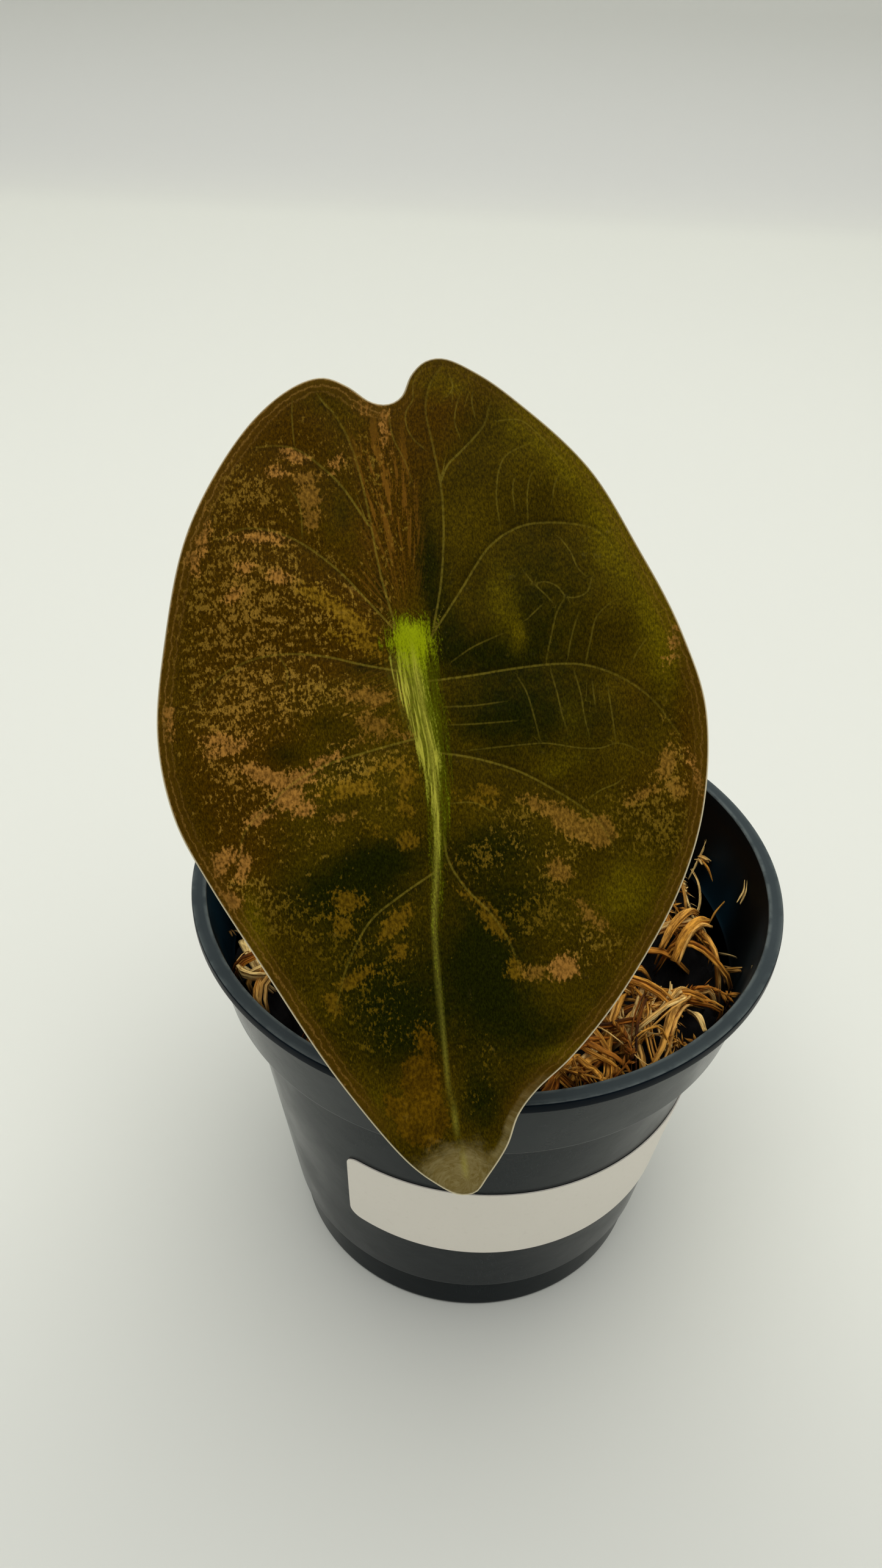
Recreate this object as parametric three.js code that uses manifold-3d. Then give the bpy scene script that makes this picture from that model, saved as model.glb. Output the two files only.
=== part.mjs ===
// Young peltate-leaved aroid in a small plastic nursery pot of long-fibre moss.
//
// Millimetres, +Z up. The origin is the centre of the pot's underside and -Y is the front.
// The pot holds a moss plug, the moss holds a rooted corm, the corm's sheath holds the petiole,
// and the petiole carries one shield-shaped leaf. A bare paper label is stuck round the pot.

import * as THREE from 'three';
import { mergeVertices } from 'three/addons/utils/BufferGeometryUtils.js';
import Module from 'manifold-3d';

const wasm = await Module();
wasm.setup();

const TURN = Math.PI * 2;
const CLEARANCE = 0.35;
const WELD_DISTANCE = 1e-4;

// Pot: a narrow foot, a tapered body, a ledge, a wider flared collar and a flat lip
const POT_SEGMENTS = 72;
const POT_HEIGHT = 62;
const RIM_RADIUS = 38;
const LIP_WIDTH = 1.8;
const LIP_HEIGHT = 1.7;
const LIP_ROUNDING = 0.35;
const WALL = 1.0;
const COLLAR_TOP_RADIUS = 36.7;
const COLLAR_FOOT_RADIUS = 34.8;
const COLLAR_FOOT_Z = 48.8;
const LEDGE_HEIGHT = 0.8;
const BODY_TOP_RADIUS = 32.5;
const BODY_FOOT_RADIUS = 27.1;
const BODY_FOOT_Z = 7.4;
const FOOT_RADIUS = 25.9;
const FOOT_STEP_HEIGHT = 0.7;
const BASE_ROUNDING = 0.8;
const FLOOR_THICKNESS = 1.4;
const DRAIN_HOLES = 6;
const DRAIN_RADIUS = 2.5;
const DRAIN_CIRCLE_RADIUS = 18;

// Label: a strip of paper with rounded corners that follows the pot's taper, stuck a little askew.
// Its ends are angles from the front, towards the right.
const LABEL_START_DEG = -29.5;
const LABEL_END_DEG = 103;
const LABEL_COLUMN_DEG = 5;
const LABEL_LOW_Z = 18.2;
const LABEL_HEIGHT = 16.3;
const LABEL_DROP_PER_DEG = 0.0145;
const LABEL_LEAN_DEG = 2.6;
const LABEL_CORNER = 1.8;
const LABEL_GAP = 0.25;
const LABEL_THICKNESS = 0.35;

// Moss: a plug with an uneven top, low at the back and right, and strands fused into it
const MOSS_SEGMENTS = 36;
const MOSS_TOP_Z = 54.5;
const MOSS_RISE_TO_FRONT = 0.11;
const MOSS_FALL_TO_RIGHT = 0.05;
const MOSS_BUMP = 1;
const MOSS_SHOULDER_RADIUS = 31.4;
const MOSS_LEAN_TO_FRONT = 1.2;
const MOSS_STRANDS = 50;
const STRAND_SEED = 4127;
const STRAND_SIDES = 5;
const STRAND_STEPS = 3;
const STRAND_REACH = 33.5;
const STRAND_MIN_LENGTH = 11;
const STRAND_MAX_LENGTH = 21;
const STRAND_MIN_RADIUS = 1.1;
const STRAND_MAX_RADIUS = 1.8;
const STRAND_FLATNESS = 0.6;
const STRAND_ARCH = 2.6;
const STRAND_SINK = 2;

// Corm: a rounded body with roots below and a sheath above, which is the petiole's socket
const STEM_PLACE = new THREE.Vector3(-1, 2, 0);
const CORM_LOW_Z = 36;
const CORM_RADIUS = 6;
const CORM_WIDEST_Z = 43;
const NECK_RADIUS = 4;
const NECK_Z = 50.5;
const SHEATH_RADIUS = 3.2;
const SHEATH_TOP_Z = 63;
const SHEATH_SLANT = THREE.MathUtils.degToRad(32);
const SOCKET_RADIUS = 2.5;
const SOCKET_FLOOR_Z = 50;
const CORM_SEGMENTS = 20;
const ROOTS = 5;
const ROOT_LENGTH = 17;
const ROOT_RADIUS = 1.1;

// Leaf: its own frame stands at the petiole's attachment, x across, y away from the tip, z off
// the upper face. The blade leans forward and its midrib swings a little to the right.
const LEAF_PLACE = new THREE.Vector3(-9.2, -15.7, 106.4);
const LEAF_YAW = THREE.MathUtils.degToRad(3.1);
const LEAF_TILT = THREE.MathUtils.degToRad(52);
const LEAF_SPIN = THREE.MathUtils.degToRad(8);
const BLADE_THICKNESS = 0.7;
const SIDE_DROOP = 0.0034;
const TIP_DROOP = 0.0007;
const LOBE_DROOP = 0.0016;
const CHANNEL_DEPTH = 0.6;
const CHANNEL_WIDTH = 3;
const MARGIN_WAVE = 0.35;
const MARGIN_WAVES = 9;
const OUTLINE_COLUMNS = 76;
const BLADE_RINGS = [0, 0.12, 0.26, 0.42, 0.58, 0.74, 0.88, 1];
const BOSS_RADIUS = 2.2;
const MIDRIB_RADIUS = 1.3;
const MIDRIB_TIP_RADIUS = 0.4;
const LATERAL_RADIUS = 0.65;
const LATERAL_TIP_RADIUS = 0.35;
const RIB_SINK = 0.15;
const RIB_TIP_SINK = 0.3;

// Petiole: slender, upright, then bent over to meet the blade's underside square on
const PETIOLE_BASE_RADIUS = 2.1;
const PETIOLE_TOP_RADIUS = 1.6;
const PETIOLE_SIDES = 10;
const PETIOLE_STEPS = 20;

// Leaf outline, from the notch between the two rear lobes, down the left to the tip and back up
const OUTLINE = [
  [0.2, 22.6], [-1.5, 22.9], [-3.7, 24.6], [-6.1, 25.7], [-9.5, 25], [-14.5, 21.5],
  [-20.6, 12.9], [-24.5, 2], [-26.3, -7.5], [-25.4, -16.4], [-22.7, -23.2], [-17.3, -33.4],
  [-11.8, -44], [-6.1, -52.3], [-3.4, -55], [-1, -56.7], [0.7, -56.7], [2.1, -55.2],
  [4.4, -52.2], [5.8, -49.2], [7.8, -46.9], [11.7, -43.8], [18.1, -37.3], [24, -28.9],
  [27.7, -19.8], [28.9, -10.5], [27.1, -3], [23.8, 5.3], [19.7, 13.9], [13.1, 21.2],
  [9.4, 24.6], [6.1, 26.6], [4.2, 26.5], [2.7, 25.3], [1.5, 23.2],
];

// Midrib and main lateral veins in the leaf's frame, each from its root outwards
const MIDRIB = [
  [0, 0], [0.5, -8], [0.9, -12.5], [0.8, -17], [0, -25], [-0.8, -33], [-0.9, -40], [-0.8, -46], [0, -55],
];
const LATERALS = [
  [[1.4, 1], [3.5, 4.1], [4.3, 9.2], [4.5, 13.4], [4.1, 18], [3.8, 21.7], [5.6, 25.4]],
  [[4.5, 14.1], [6.7, 16.8], [9.4, 19.4], [10.1, 21.2]],
  [[1, 0], [5.3, 3.1], [8.6, 7.2], [12.8, 9.1], [17, 8.8], [20.6, 6.6]],
  [[0.6, -5.3], [5, -5.25], [10, -4.95], [17, -5.3], [20.5, -6.9], [23.4, -9.4], [25.8, -13.2]],
  [[0.9, -12.3], [4.6, -13.2], [9.1, -15], [12.9, -17.5], [17, -21.5], [17.9, -23.4]],
  [[0.6, -20], [1.4, -23], [2.7, -25.8], [5.1, -28.8], [7.4, -34.4]],
  [[-1, 1], [-2.3, 5.6], [-3.1, 14], [-4, 18.9], [-6.5, 23.7]],
  [[-2.9, 10.6], [-5.2, 14.6], [-7.1, 16.9], [-9.4, 18.9], [-13.2, 19.6]],
  [[-1, 0], [-3.9, 3.2], [-6.4, 6.4], [-9.9, 9.6], [-12.7, 11.1], [-17.8, 10.9]],
  [[-0.6, -4.1], [-4.9, -3.1], [-8.5, -1.9], [-12.5, -1.2], [-19.1, -2.6], [-21.7, -4.7]],
  [[0.6, -10.7], [-5.8, -11.7], [-12.6, -13.7], [-16.2, -16.2], [-18.5, -18.4], [-19.2, -20.5]],
  [[0, -24.1], [-3.7, -26.1], [-6.7, -28.1], [-8.6, -30.6], [-11.3, -37]],
];

const POT_COLOUR = 0x3f4443;
const LABEL_COLOUR = 0xdad6c8;
const MOSS_COLOUR = 0xa8743a;
const CORM_COLOUR = 0x7d6040;
const PETIOLE_COLOUR = 0xa6bf45;
const LEAF_COLOUR = 0x4d4a1e;

// Random numbers from 0 to 1 that come out the same on every run
function seededRandom(seed) {
  let state = seed;
  return () => {
    state = (state + 0x6d2b79f5) | 0;
    let mixed = Math.imul(state ^ (state >>> 15), 1 | state);
    mixed = (mixed + Math.imul(mixed ^ (mixed >>> 7), 61 | mixed)) ^ mixed;
    return ((mixed ^ (mixed >>> 14)) >>> 0) / 4294967296;
  };
}

// Six times the signed volume that the triangles enclose
function signedVolume(positions, triangles) {
  let volume = 0;
  const corners = [new THREE.Vector3(), new THREE.Vector3(), new THREE.Vector3()];
  for (let start = 0; start < triangles.length; start += 3) {
    corners.forEach((corner, offset) => corner.fromArray(positions, triangles[start + offset] * 3));
    volume += corners[0].dot(corners[1].cross(corners[2]));
  }
  return volume;
}

// Welds a closed geometry's shared corners, drops collapsed triangles and turns its faces out
function toSolid(geometry) {
  const bare = new THREE.BufferGeometry();
  bare.setAttribute('position', geometry.getAttribute('position').clone());
  bare.setIndex(geometry.getIndex());
  const welded = mergeVertices(bare, WELD_DISTANCE);
  const positions = welded.getAttribute('position').array;
  const source = welded.getIndex().array;
  const triangles = [];
  for (let start = 0; start < source.length; start += 3) {
    const [a, b, c] = [source[start], source[start + 1], source[start + 2]];
    if (a !== b && b !== c && c !== a) {
      triangles.push(a, b, c);
    }
  }
  if (signedVolume(positions, triangles) < 0) {
    triangles.reverse();
  }
  return new wasm.Manifold(new wasm.Mesh({
    numProp: 3,
    vertProperties: new Float32Array(positions),
    triVerts: new Uint32Array(triangles),
  }));
}

function toGeometry(solid) {
  const mesh = solid.getMesh();
  const geometry = new THREE.BufferGeometry();
  geometry.setAttribute('position', new THREE.BufferAttribute(new Float32Array(mesh.vertProperties), 3));
  geometry.setIndex(new THREE.BufferAttribute(new Uint32Array(mesh.triVerts), 1));
  geometry.computeVertexNormals();
  return geometry;
}

function makePiece(name, solid, colour, roughness) {
  const material = new THREE.MeshStandardMaterial({ color: colour, roughness, metalness: 0 });
  const mesh = new THREE.Mesh(toGeometry(solid), material);
  mesh.name = name;
  return mesh;
}

// A solid of revolution about +Z from a closed or axis-to-axis profile of [radius, height]
function revolve(profile, segments) {
  const points = profile.map(([radius, height]) => new THREE.Vector2(radius, height));
  const geometry = new THREE.LatheGeometry(points, segments);
  geometry.rotateX(Math.PI / 2);
  return geometry;
}

// A closed tube along a curve, with a radius that changes along it and a flattened section
function taperedTube(curve, steps, sides, radiusAt, flatness = 1) {
  const frames = curve.computeFrenetFrames(steps, false);
  const positions = [];
  const triangles = [];
  for (let step = 0; step <= steps; step += 1) {
    const centre = curve.getPointAt(step / steps);
    const radius = radiusAt(step / steps);
    for (let side = 0; side < sides; side += 1) {
      const angle = (side / sides) * TURN;
      const point = centre.clone();
      point.addScaledVector(frames.normals[step], Math.cos(angle) * radius);
      point.addScaledVector(frames.binormals[step], Math.sin(angle) * radius * flatness);
      positions.push(...point.toArray());
    }
  }
  for (let step = 0; step < steps; step += 1) {
    for (let side = 0; side < sides; side += 1) {
      const next = (side + 1) % sides;
      const [a, b] = [step * sides + side, step * sides + next];
      triangles.push(a, b, b + sides, a, b + sides, a + sides);
    }
  }
  const last = steps * sides;
  for (let side = 1; side < sides - 1; side += 1) {
    triangles.push(0, side + 1, side);
    triangles.push(last, last + side, last + side + 1);
  }
  const geometry = new THREE.BufferGeometry();
  geometry.setAttribute('position', new THREE.Float32BufferAttribute(positions, 3));
  geometry.setIndex(triangles);
  return geometry;
}

// Pot
function wallRadiusAt(height) {
  const bodyTopZ = COLLAR_FOOT_Z - LEDGE_HEIGHT;
  if (height >= COLLAR_FOOT_Z) {
    const share = (height - COLLAR_FOOT_Z) / (POT_HEIGHT - LIP_HEIGHT - COLLAR_FOOT_Z);
    return THREE.MathUtils.lerp(COLLAR_FOOT_RADIUS, COLLAR_TOP_RADIUS, Math.min(share, 1));
  }
  const share = (height - BODY_FOOT_Z) / (bodyTopZ - BODY_FOOT_Z);
  return THREE.MathUtils.lerp(BODY_FOOT_RADIUS, BODY_TOP_RADIUS, THREE.MathUtils.clamp(share, 0, 1));
}

function potOuterProfile() {
  return [
    [0, 0],
    [FOOT_RADIUS - BASE_ROUNDING, 0],
    [FOOT_RADIUS - BASE_ROUNDING * 0.3, BASE_ROUNDING * 0.3],
    [FOOT_RADIUS, BASE_ROUNDING],
    [FOOT_RADIUS, BODY_FOOT_Z - FOOT_STEP_HEIGHT],
    [BODY_FOOT_RADIUS, BODY_FOOT_Z],
    [BODY_TOP_RADIUS, COLLAR_FOOT_Z - LEDGE_HEIGHT],
    [COLLAR_FOOT_RADIUS, COLLAR_FOOT_Z],
    [COLLAR_TOP_RADIUS, POT_HEIGHT - LIP_HEIGHT],
    [RIM_RADIUS, POT_HEIGHT - LIP_HEIGHT + LIP_ROUNDING],
    [RIM_RADIUS, POT_HEIGHT - LIP_ROUNDING],
    [RIM_RADIUS - LIP_ROUNDING, POT_HEIGHT],
  ];
}

// The inner wall from the lip down, set in by an extra clearance when a neighbour follows it
function potInnerProfile(inset) {
  const offset = WALL + inset;
  return [
    [RIM_RADIUS - LIP_WIDTH - inset, POT_HEIGHT],
    [COLLAR_TOP_RADIUS - offset, POT_HEIGHT - LIP_HEIGHT],
    [COLLAR_FOOT_RADIUS - offset, COLLAR_FOOT_Z],
    [BODY_TOP_RADIUS - offset, COLLAR_FOOT_Z - LEDGE_HEIGHT],
    [BODY_FOOT_RADIUS - offset, BODY_FOOT_Z],
    [FOOT_RADIUS - offset, BODY_FOOT_Z - FOOT_STEP_HEIGHT],
    [FOOT_RADIUS - offset, FLOOR_THICKNESS + inset],
    [0, FLOOR_THICKNESS + inset],
  ];
}

function makePot() {
  let pot = toSolid(revolve([...potOuterProfile(), ...potInnerProfile(0)], POT_SEGMENTS));
  const drill = new THREE.CylinderGeometry(DRAIN_RADIUS, DRAIN_RADIUS, FLOOR_THICKNESS * 4, 12);
  drill.rotateX(Math.PI / 2);
  for (let hole = 0; hole < DRAIN_HOLES; hole += 1) {
    const angle = (hole / DRAIN_HOLES) * TURN;
    const drain = drill.clone();
    drain.translate(DRAIN_CIRCLE_RADIUS * Math.cos(angle), DRAIN_CIRCLE_RADIUS * Math.sin(angle), 0);
    pot = pot.subtract(toSolid(drain));
  }
  return makePiece('pot', pot, POT_COLOUR, 0.45);
}

// Label
function labelColumns() {
  const degreesPerMillimetre = 360 / (TURN * wallRadiusAt(LABEL_LOW_Z + LABEL_HEIGHT / 2));
  const corner = LABEL_CORNER * degreesPerMillimetre;
  const columns = [];
  for (const share of [0, 0.15, 0.5, 1]) {
    const drop = LABEL_CORNER * (1 - Math.sqrt(1 - (1 - share) ** 2));
    columns.push({ degrees: LABEL_START_DEG + corner * share, drop });
    columns.push({ degrees: LABEL_END_DEG - corner * share, drop });
  }
  const columnCount = Math.floor((LABEL_END_DEG - LABEL_START_DEG) / LABEL_COLUMN_DEG) - 1;
  for (let column = 1; column <= columnCount; column += 1) {
    columns.push({ degrees: LABEL_START_DEG + corner + column * LABEL_COLUMN_DEG, drop: 0 });
  }
  return columns.sort((first, second) => first.degrees - second.degrees);
}

function makeLabel() {
  const columns = labelColumns();
  const positions = [];
  const triangles = [];
  for (const { degrees, drop } of columns) {
    const middle = (LABEL_START_DEG + LABEL_END_DEG) / 2;
    const low = LABEL_LOW_Z - (degrees - middle) * LABEL_DROP_PER_DEG;
    const heights = [low + drop, low + LABEL_HEIGHT - drop];
    for (const depth of [LABEL_GAP, LABEL_GAP + LABEL_THICKNESS]) {
      for (const height of heights) {
        const radius = wallRadiusAt(height) + depth;
        const lean = LABEL_LEAN_DEG * (1 - (height - low) / LABEL_HEIGHT);
        const angle = THREE.MathUtils.degToRad(degrees - lean);
        positions.push(radius * Math.sin(angle), -radius * Math.cos(angle), height);
      }
    }
  }
  // Each column holds inner low, inner high, outer low and outer high, walked round as a ring
  const ring = [0, 1, 3, 2];
  for (let column = 0; column < columns.length - 1; column += 1) {
    const here = column * 4;
    for (let edge = 0; edge < 4; edge += 1) {
      const a = here + ring[edge];
      const b = here + ring[(edge + 1) % 4];
      triangles.push(a, b, b + 4, a, b + 4, a + 4);
    }
  }
  const end = (columns.length - 1) * 4;
  triangles.push(0, 3, 1, 0, 2, 3);
  triangles.push(end, end + 1, end + 3, end, end + 3, end + 2);
  const geometry = new THREE.BufferGeometry();
  geometry.setAttribute('position', new THREE.Float32BufferAttribute(positions, 3));
  geometry.setIndex(triangles);
  return makePiece('label', toSolid(geometry), LABEL_COLOUR, 0.6);
}

// Moss
function mossHeightAt(x, y) {
  const bumps = Math.sin(x * 0.31 + 1.2) * Math.cos(y * 0.27 - 0.4) + 0.5 * Math.sin(x * 0.7 - y * 0.5);
  return MOSS_TOP_Z - y * MOSS_RISE_TO_FRONT - x * MOSS_FALL_TO_RIGHT + bumps * MOSS_BUMP;
}

function makeMossPlug() {
  const wall = potInnerProfile(CLEARANCE).slice(3).reverse();
  const top = [
    [MOSS_SHOULDER_RADIUS, MOSS_TOP_Z - 2.5],
    [MOSS_SHOULDER_RADIUS * 0.92, MOSS_TOP_Z - 0.8],
    [MOSS_SHOULDER_RADIUS * 0.7, MOSS_TOP_Z],
    [MOSS_SHOULDER_RADIUS * 0.4, MOSS_TOP_Z],
    [0, MOSS_TOP_Z],
  ];
  const geometry = revolve([...wall, ...top], MOSS_SEGMENTS);
  const position = geometry.getAttribute('position');
  for (let index = 0; index < position.count; index += 1) {
    const height = position.getZ(index);
    if (height > COLLAR_FOOT_Z) {
      const lift = mossHeightAt(position.getX(index), position.getY(index)) - MOSS_TOP_Z;
      position.setZ(index, height + lift);
      position.setY(index, position.getY(index) - MOSS_LEAN_TO_FRONT);
    }
  }
  return toSolid(geometry);
}

// One strand: an arched fibre that starts and ends inside the plug and stands out between
function makeStrand(random) {
  const reach = STRAND_REACH * Math.sqrt(random());
  const place = random() * TURN;
  const heading = random() * TURN;
  const length = THREE.MathUtils.lerp(STRAND_MIN_LENGTH, STRAND_MAX_LENGTH, random());
  const radius = THREE.MathUtils.lerp(STRAND_MIN_RADIUS, STRAND_MAX_RADIUS, random());
  const arch = STRAND_ARCH * random();
  const bow = (random() - 0.5) * length * 0.5;
  const points = [];
  for (const share of [-0.5, -0.2, 0.15, 0.5]) {
    const along = share * length;
    const aside = bow * (1 - 4 * share * share);
    const x = reach * Math.cos(place) + along * Math.cos(heading) - aside * Math.sin(heading);
    const y = reach * Math.sin(place) + along * Math.sin(heading) + aside * Math.cos(heading);
    const stretch = Math.min(1, (STRAND_REACH - 1) / Math.hypot(x, y));
    const lift = arch * (1 - 4 * share * share) - (Math.abs(share) === 0.5 ? STRAND_SINK : 0);
    points.push(new THREE.Vector3(x * stretch, y * stretch, mossHeightAt(x * stretch, y * stretch) + lift));
  }
  const curve = new THREE.CatmullRomCurve3(points);
  const radiusAt = (share) => radius * (0.45 + 0.55 * Math.sin(Math.PI * share));
  return toSolid(taperedTube(curve, STRAND_STEPS, STRAND_SIDES, radiusAt, STRAND_FLATNESS));
}

function makeMoss() {
  const random = seededRandom(STRAND_SEED);
  let strands = makeStrand(random);
  for (let count = 1; count < MOSS_STRANDS; count += 1) {
    strands = strands.add(makeStrand(random));
  }
  const room = [...potInnerProfile(CLEARANCE).reverse(), [0, POT_HEIGHT]];
  strands = strands.intersect(toSolid(revolve(room, MOSS_SEGMENTS)));
  const moss = makeMossPlug().add(strands).subtract(makeCormSolid(CLEARANCE));
  return makePiece('moss', moss, MOSS_COLOUR, 0.95);
}

// Corm with roots and sheath; a grown copy of it, with no socket, cuts its pocket in the moss
function makeRoot(number, growth) {
  const angle = (number / ROOTS) * TURN + 0.4;
  const outward = new THREE.Vector3(Math.cos(angle), Math.sin(angle), 0);
  const start = STEM_PLACE.clone().setZ(CORM_WIDEST_Z - 2);
  const points = [0, 0.35, 0.7, 1].map((share) => {
    const point = start.clone().addScaledVector(outward, CORM_RADIUS * 0.4 + ROOT_LENGTH * share);
    point.z -= ROOT_LENGTH * share * (0.35 + 0.5 * share) + (number % 2) * 3 * share;
    return point;
  });
  const curve = new THREE.CatmullRomCurve3(points);
  if (growth > 0) {
    points[3].add(curve.getTangentAt(1).multiplyScalar(growth * 2));
    curve.updateArcLengths();
  }
  const radiusAt = (share) => ROOT_RADIUS * (1 - 0.5 * share) + growth;
  return toSolid(taperedTube(curve, 6, 5, radiusAt));
}

// The block above the sheath's slanting mouth
function makeMouthCutter() {
  const side = SHEATH_RADIUS * 6;
  const block = new THREE.BoxGeometry(side, side, side);
  block.translate(0, 0, side / 2);
  block.rotateX(SHEATH_SLANT);
  block.translate(STEM_PLACE.x, STEM_PLACE.y, SHEATH_TOP_Z - SHEATH_RADIUS);
  return toSolid(block);
}

function makeCormSolid(growth) {
  const outside = [
    [0, CORM_LOW_Z - growth],
    [CORM_RADIUS * 0.6 + growth, CORM_LOW_Z + 0.8 - growth],
    [CORM_RADIUS + growth, CORM_WIDEST_Z - 2.5],
    [CORM_RADIUS + growth, CORM_WIDEST_Z + 2],
    [NECK_RADIUS + growth, NECK_Z],
    [SHEATH_RADIUS + growth, NECK_Z + 4],
    [SHEATH_RADIUS + growth, growth > 0 ? POT_HEIGHT + 4 : SHEATH_TOP_Z],
  ];
  const inside = [
    [SOCKET_RADIUS, SHEATH_TOP_Z],
    [SOCKET_RADIUS, SOCKET_FLOOR_Z],
    [0, SOCKET_FLOOR_Z],
  ];
  const profile = growth > 0 ? [...outside, [0, POT_HEIGHT + 4]] : [...outside, ...inside];
  const geometry = revolve(profile, CORM_SEGMENTS);
  geometry.translate(STEM_PLACE.x, STEM_PLACE.y, 0);
  let corm = toSolid(geometry);
  if (growth === 0) {
    corm = corm.subtract(makeMouthCutter());
  }
  for (let number = 0; number < ROOTS; number += 1) {
    corm = corm.add(makeRoot(number, growth));
  }
  return corm;
}

function makeCorm() {
  return makePiece('corm', makeCormSolid(0), CORM_COLOUR, 0.8);
}

// Leaf
function outlineCurve() {
  return new THREE.CatmullRomCurve3(OUTLINE.map(([x, y]) => new THREE.Vector3(x, y, 0)), true, 'centripetal');
}

// Height of the blade's middle surface: drooping sides, tip and lobes, and a shallow channel
function bladeHeightAt(x, y) {
  const end = y < 0 ? TIP_DROOP : LOBE_DROOP;
  const channel = CHANNEL_DEPTH * Math.exp(-((x / CHANNEL_WIDTH) ** 2));
  return -SIDE_DROOP * x * x - end * y * y - channel;
}

function makeBladeSheet() {
  const rim = outlineCurve().getSpacedPoints(OUTLINE_COLUMNS).slice(0, OUTLINE_COLUMNS);
  const positions = [];
  const triangles = [];
  const ringCount = BLADE_RINGS.length - 1;
  for (const face of [0.5, -0.5]) {
    const lift = face * BLADE_THICKNESS;
    positions.push(0, 0, bladeHeightAt(0, 0) + lift);
    for (let ring = 1; ring <= ringCount; ring += 1) {
      rim.forEach((edge, column) => {
        const x = edge.x * BLADE_RINGS[ring];
        const y = edge.y * BLADE_RINGS[ring];
        const ripple = Math.sin((column / OUTLINE_COLUMNS) * TURN * MARGIN_WAVES);
        const wave = MARGIN_WAVE * BLADE_RINGS[ring] ** 4 * ripple;
        positions.push(x, y, bladeHeightAt(x, y) + wave + lift);
      });
    }
  }
  const faceSize = 1 + ringCount * OUTLINE_COLUMNS;
  const at = (ring, column) => 1 + (ring - 1) * OUTLINE_COLUMNS + (column % OUTLINE_COLUMNS);
  const addBoth = (a, b, c) => {
    triangles.push(a, b, c, faceSize + a, faceSize + c, faceSize + b);
  };
  for (let column = 0; column < OUTLINE_COLUMNS; column += 1) {
    addBoth(0, at(1, column), at(1, column + 1));
    for (let ring = 1; ring < ringCount; ring += 1) {
      addBoth(at(ring, column), at(ring + 1, column), at(ring + 1, column + 1));
      addBoth(at(ring, column), at(ring + 1, column + 1), at(ring, column + 1));
    }
    const [here, next] = [at(ringCount, column), at(ringCount, column + 1)];
    triangles.push(here, faceSize + here, faceSize + next, here, faceSize + next, next);
  }
  const geometry = new THREE.BufferGeometry();
  geometry.setAttribute('position', new THREE.Float32BufferAttribute(positions, 3));
  geometry.setIndex(triangles);
  return toSolid(geometry);
}

// A raised vein along the blade's underside
function makeRib(points, startRadius, endRadius, steps) {
  const centres = points.map(([x, y], index) => {
    const share = index / (points.length - 1);
    const radius = THREE.MathUtils.lerp(startRadius, endRadius, share);
    const below = radius - BLADE_THICKNESS / 2 + THREE.MathUtils.lerp(RIB_SINK, RIB_TIP_SINK, share);
    return new THREE.Vector3(x, y, bladeHeightAt(x, y) - below);
  });
  const curve = new THREE.CatmullRomCurve3(centres);
  const radiusAt = (share) => THREE.MathUtils.lerp(startRadius, endRadius, share);
  return toSolid(taperedTube(curve, steps, 6, radiusAt));
}

function makeLeafBlade() {
  let blade = makeBladeSheet().add(makeRib(MIDRIB, MIDRIB_RADIUS, MIDRIB_TIP_RADIUS, 14));
  for (const lateral of LATERALS) {
    blade = blade.add(makeRib(lateral, LATERAL_RADIUS, LATERAL_TIP_RADIUS, 9));
  }
  const boss = new THREE.CylinderGeometry(BOSS_RADIUS, BOSS_RADIUS, bossDepth(), 16);
  boss.rotateX(Math.PI / 2);
  boss.translate(0, 0, bladeHeightAt(0, 0) - bossDepth() / 2);
  return makePiece('leaf_blade', blade.add(toSolid(boss)), LEAF_COLOUR, 0.5);
}

function bossDepth() {
  return BLADE_THICKNESS / 2 + MIDRIB_RADIUS * 1.5;
}

// The petiole's route, with its last points square to the blade
function petioleCurve(leafNormal) {
  const end = -bladeHeightAt(0, 0) + bossDepth() + CLEARANCE;
  const bend = (distance) => LEAF_PLACE.clone().addScaledVector(leafNormal, -end - distance);
  const base = STEM_PLACE.clone().setZ(SOCKET_FLOOR_Z + CLEARANCE);
  const mouth = STEM_PLACE.clone().setZ(SHEATH_TOP_Z + 1);
  return new THREE.CatmullRomCurve3([
    base,
    base.clone().lerp(mouth, 0.5),
    mouth,
    new THREE.Vector3(-2.2, 3.2, 74),
    new THREE.Vector3(-5, 2.6, 88),
    new THREE.Vector3(-8, -2.6, 98),
    bend(4),
    bend(0),
  ], false, 'centripetal');
}

function makePetiole(leafNormal) {
  const radiusAt = (share) => THREE.MathUtils.lerp(PETIOLE_BASE_RADIUS, PETIOLE_TOP_RADIUS, share);
  const tube = taperedTube(petioleCurve(leafNormal), PETIOLE_STEPS, PETIOLE_SIDES, radiusAt);
  return makePiece('petiole', toSolid(tube), PETIOLE_COLOUR, 0.45);
}

// Assembly
const leafBlade = makeLeafBlade();
leafBlade.rotation.z = LEAF_SPIN;

const leafTilt = new THREE.Group();
leafTilt.rotation.x = LEAF_TILT;
leafTilt.add(leafBlade);

const leafMount = new THREE.Group();
leafMount.position.copy(LEAF_PLACE);
leafMount.rotation.z = LEAF_YAW;
leafMount.add(leafTilt);

const leafNormal = new THREE.Vector3(0, 0, 1);
leafNormal.applyAxisAngle(new THREE.Vector3(1, 0, 0), LEAF_TILT);
leafNormal.applyAxisAngle(new THREE.Vector3(0, 0, 1), LEAF_YAW);

const pottedPlant = new THREE.Group();
pottedPlant.add(makePot(), makeLabel(), makeMoss(), makeCorm(), makePetiole(leafNormal), leafMount);

export default pottedPlant;
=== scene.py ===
"""A young peltate-leaved aroid in a small nursery pot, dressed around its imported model.

Shapes are worked out in millimetres in the model's own frame and turned into metres when a
mesh is made. +Z is up, -Y is the front, and the origin is the centre of the pot's underside.
"""

import math

import bmesh
import bpy
import numpy as np
from mathutils import Matrix


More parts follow.
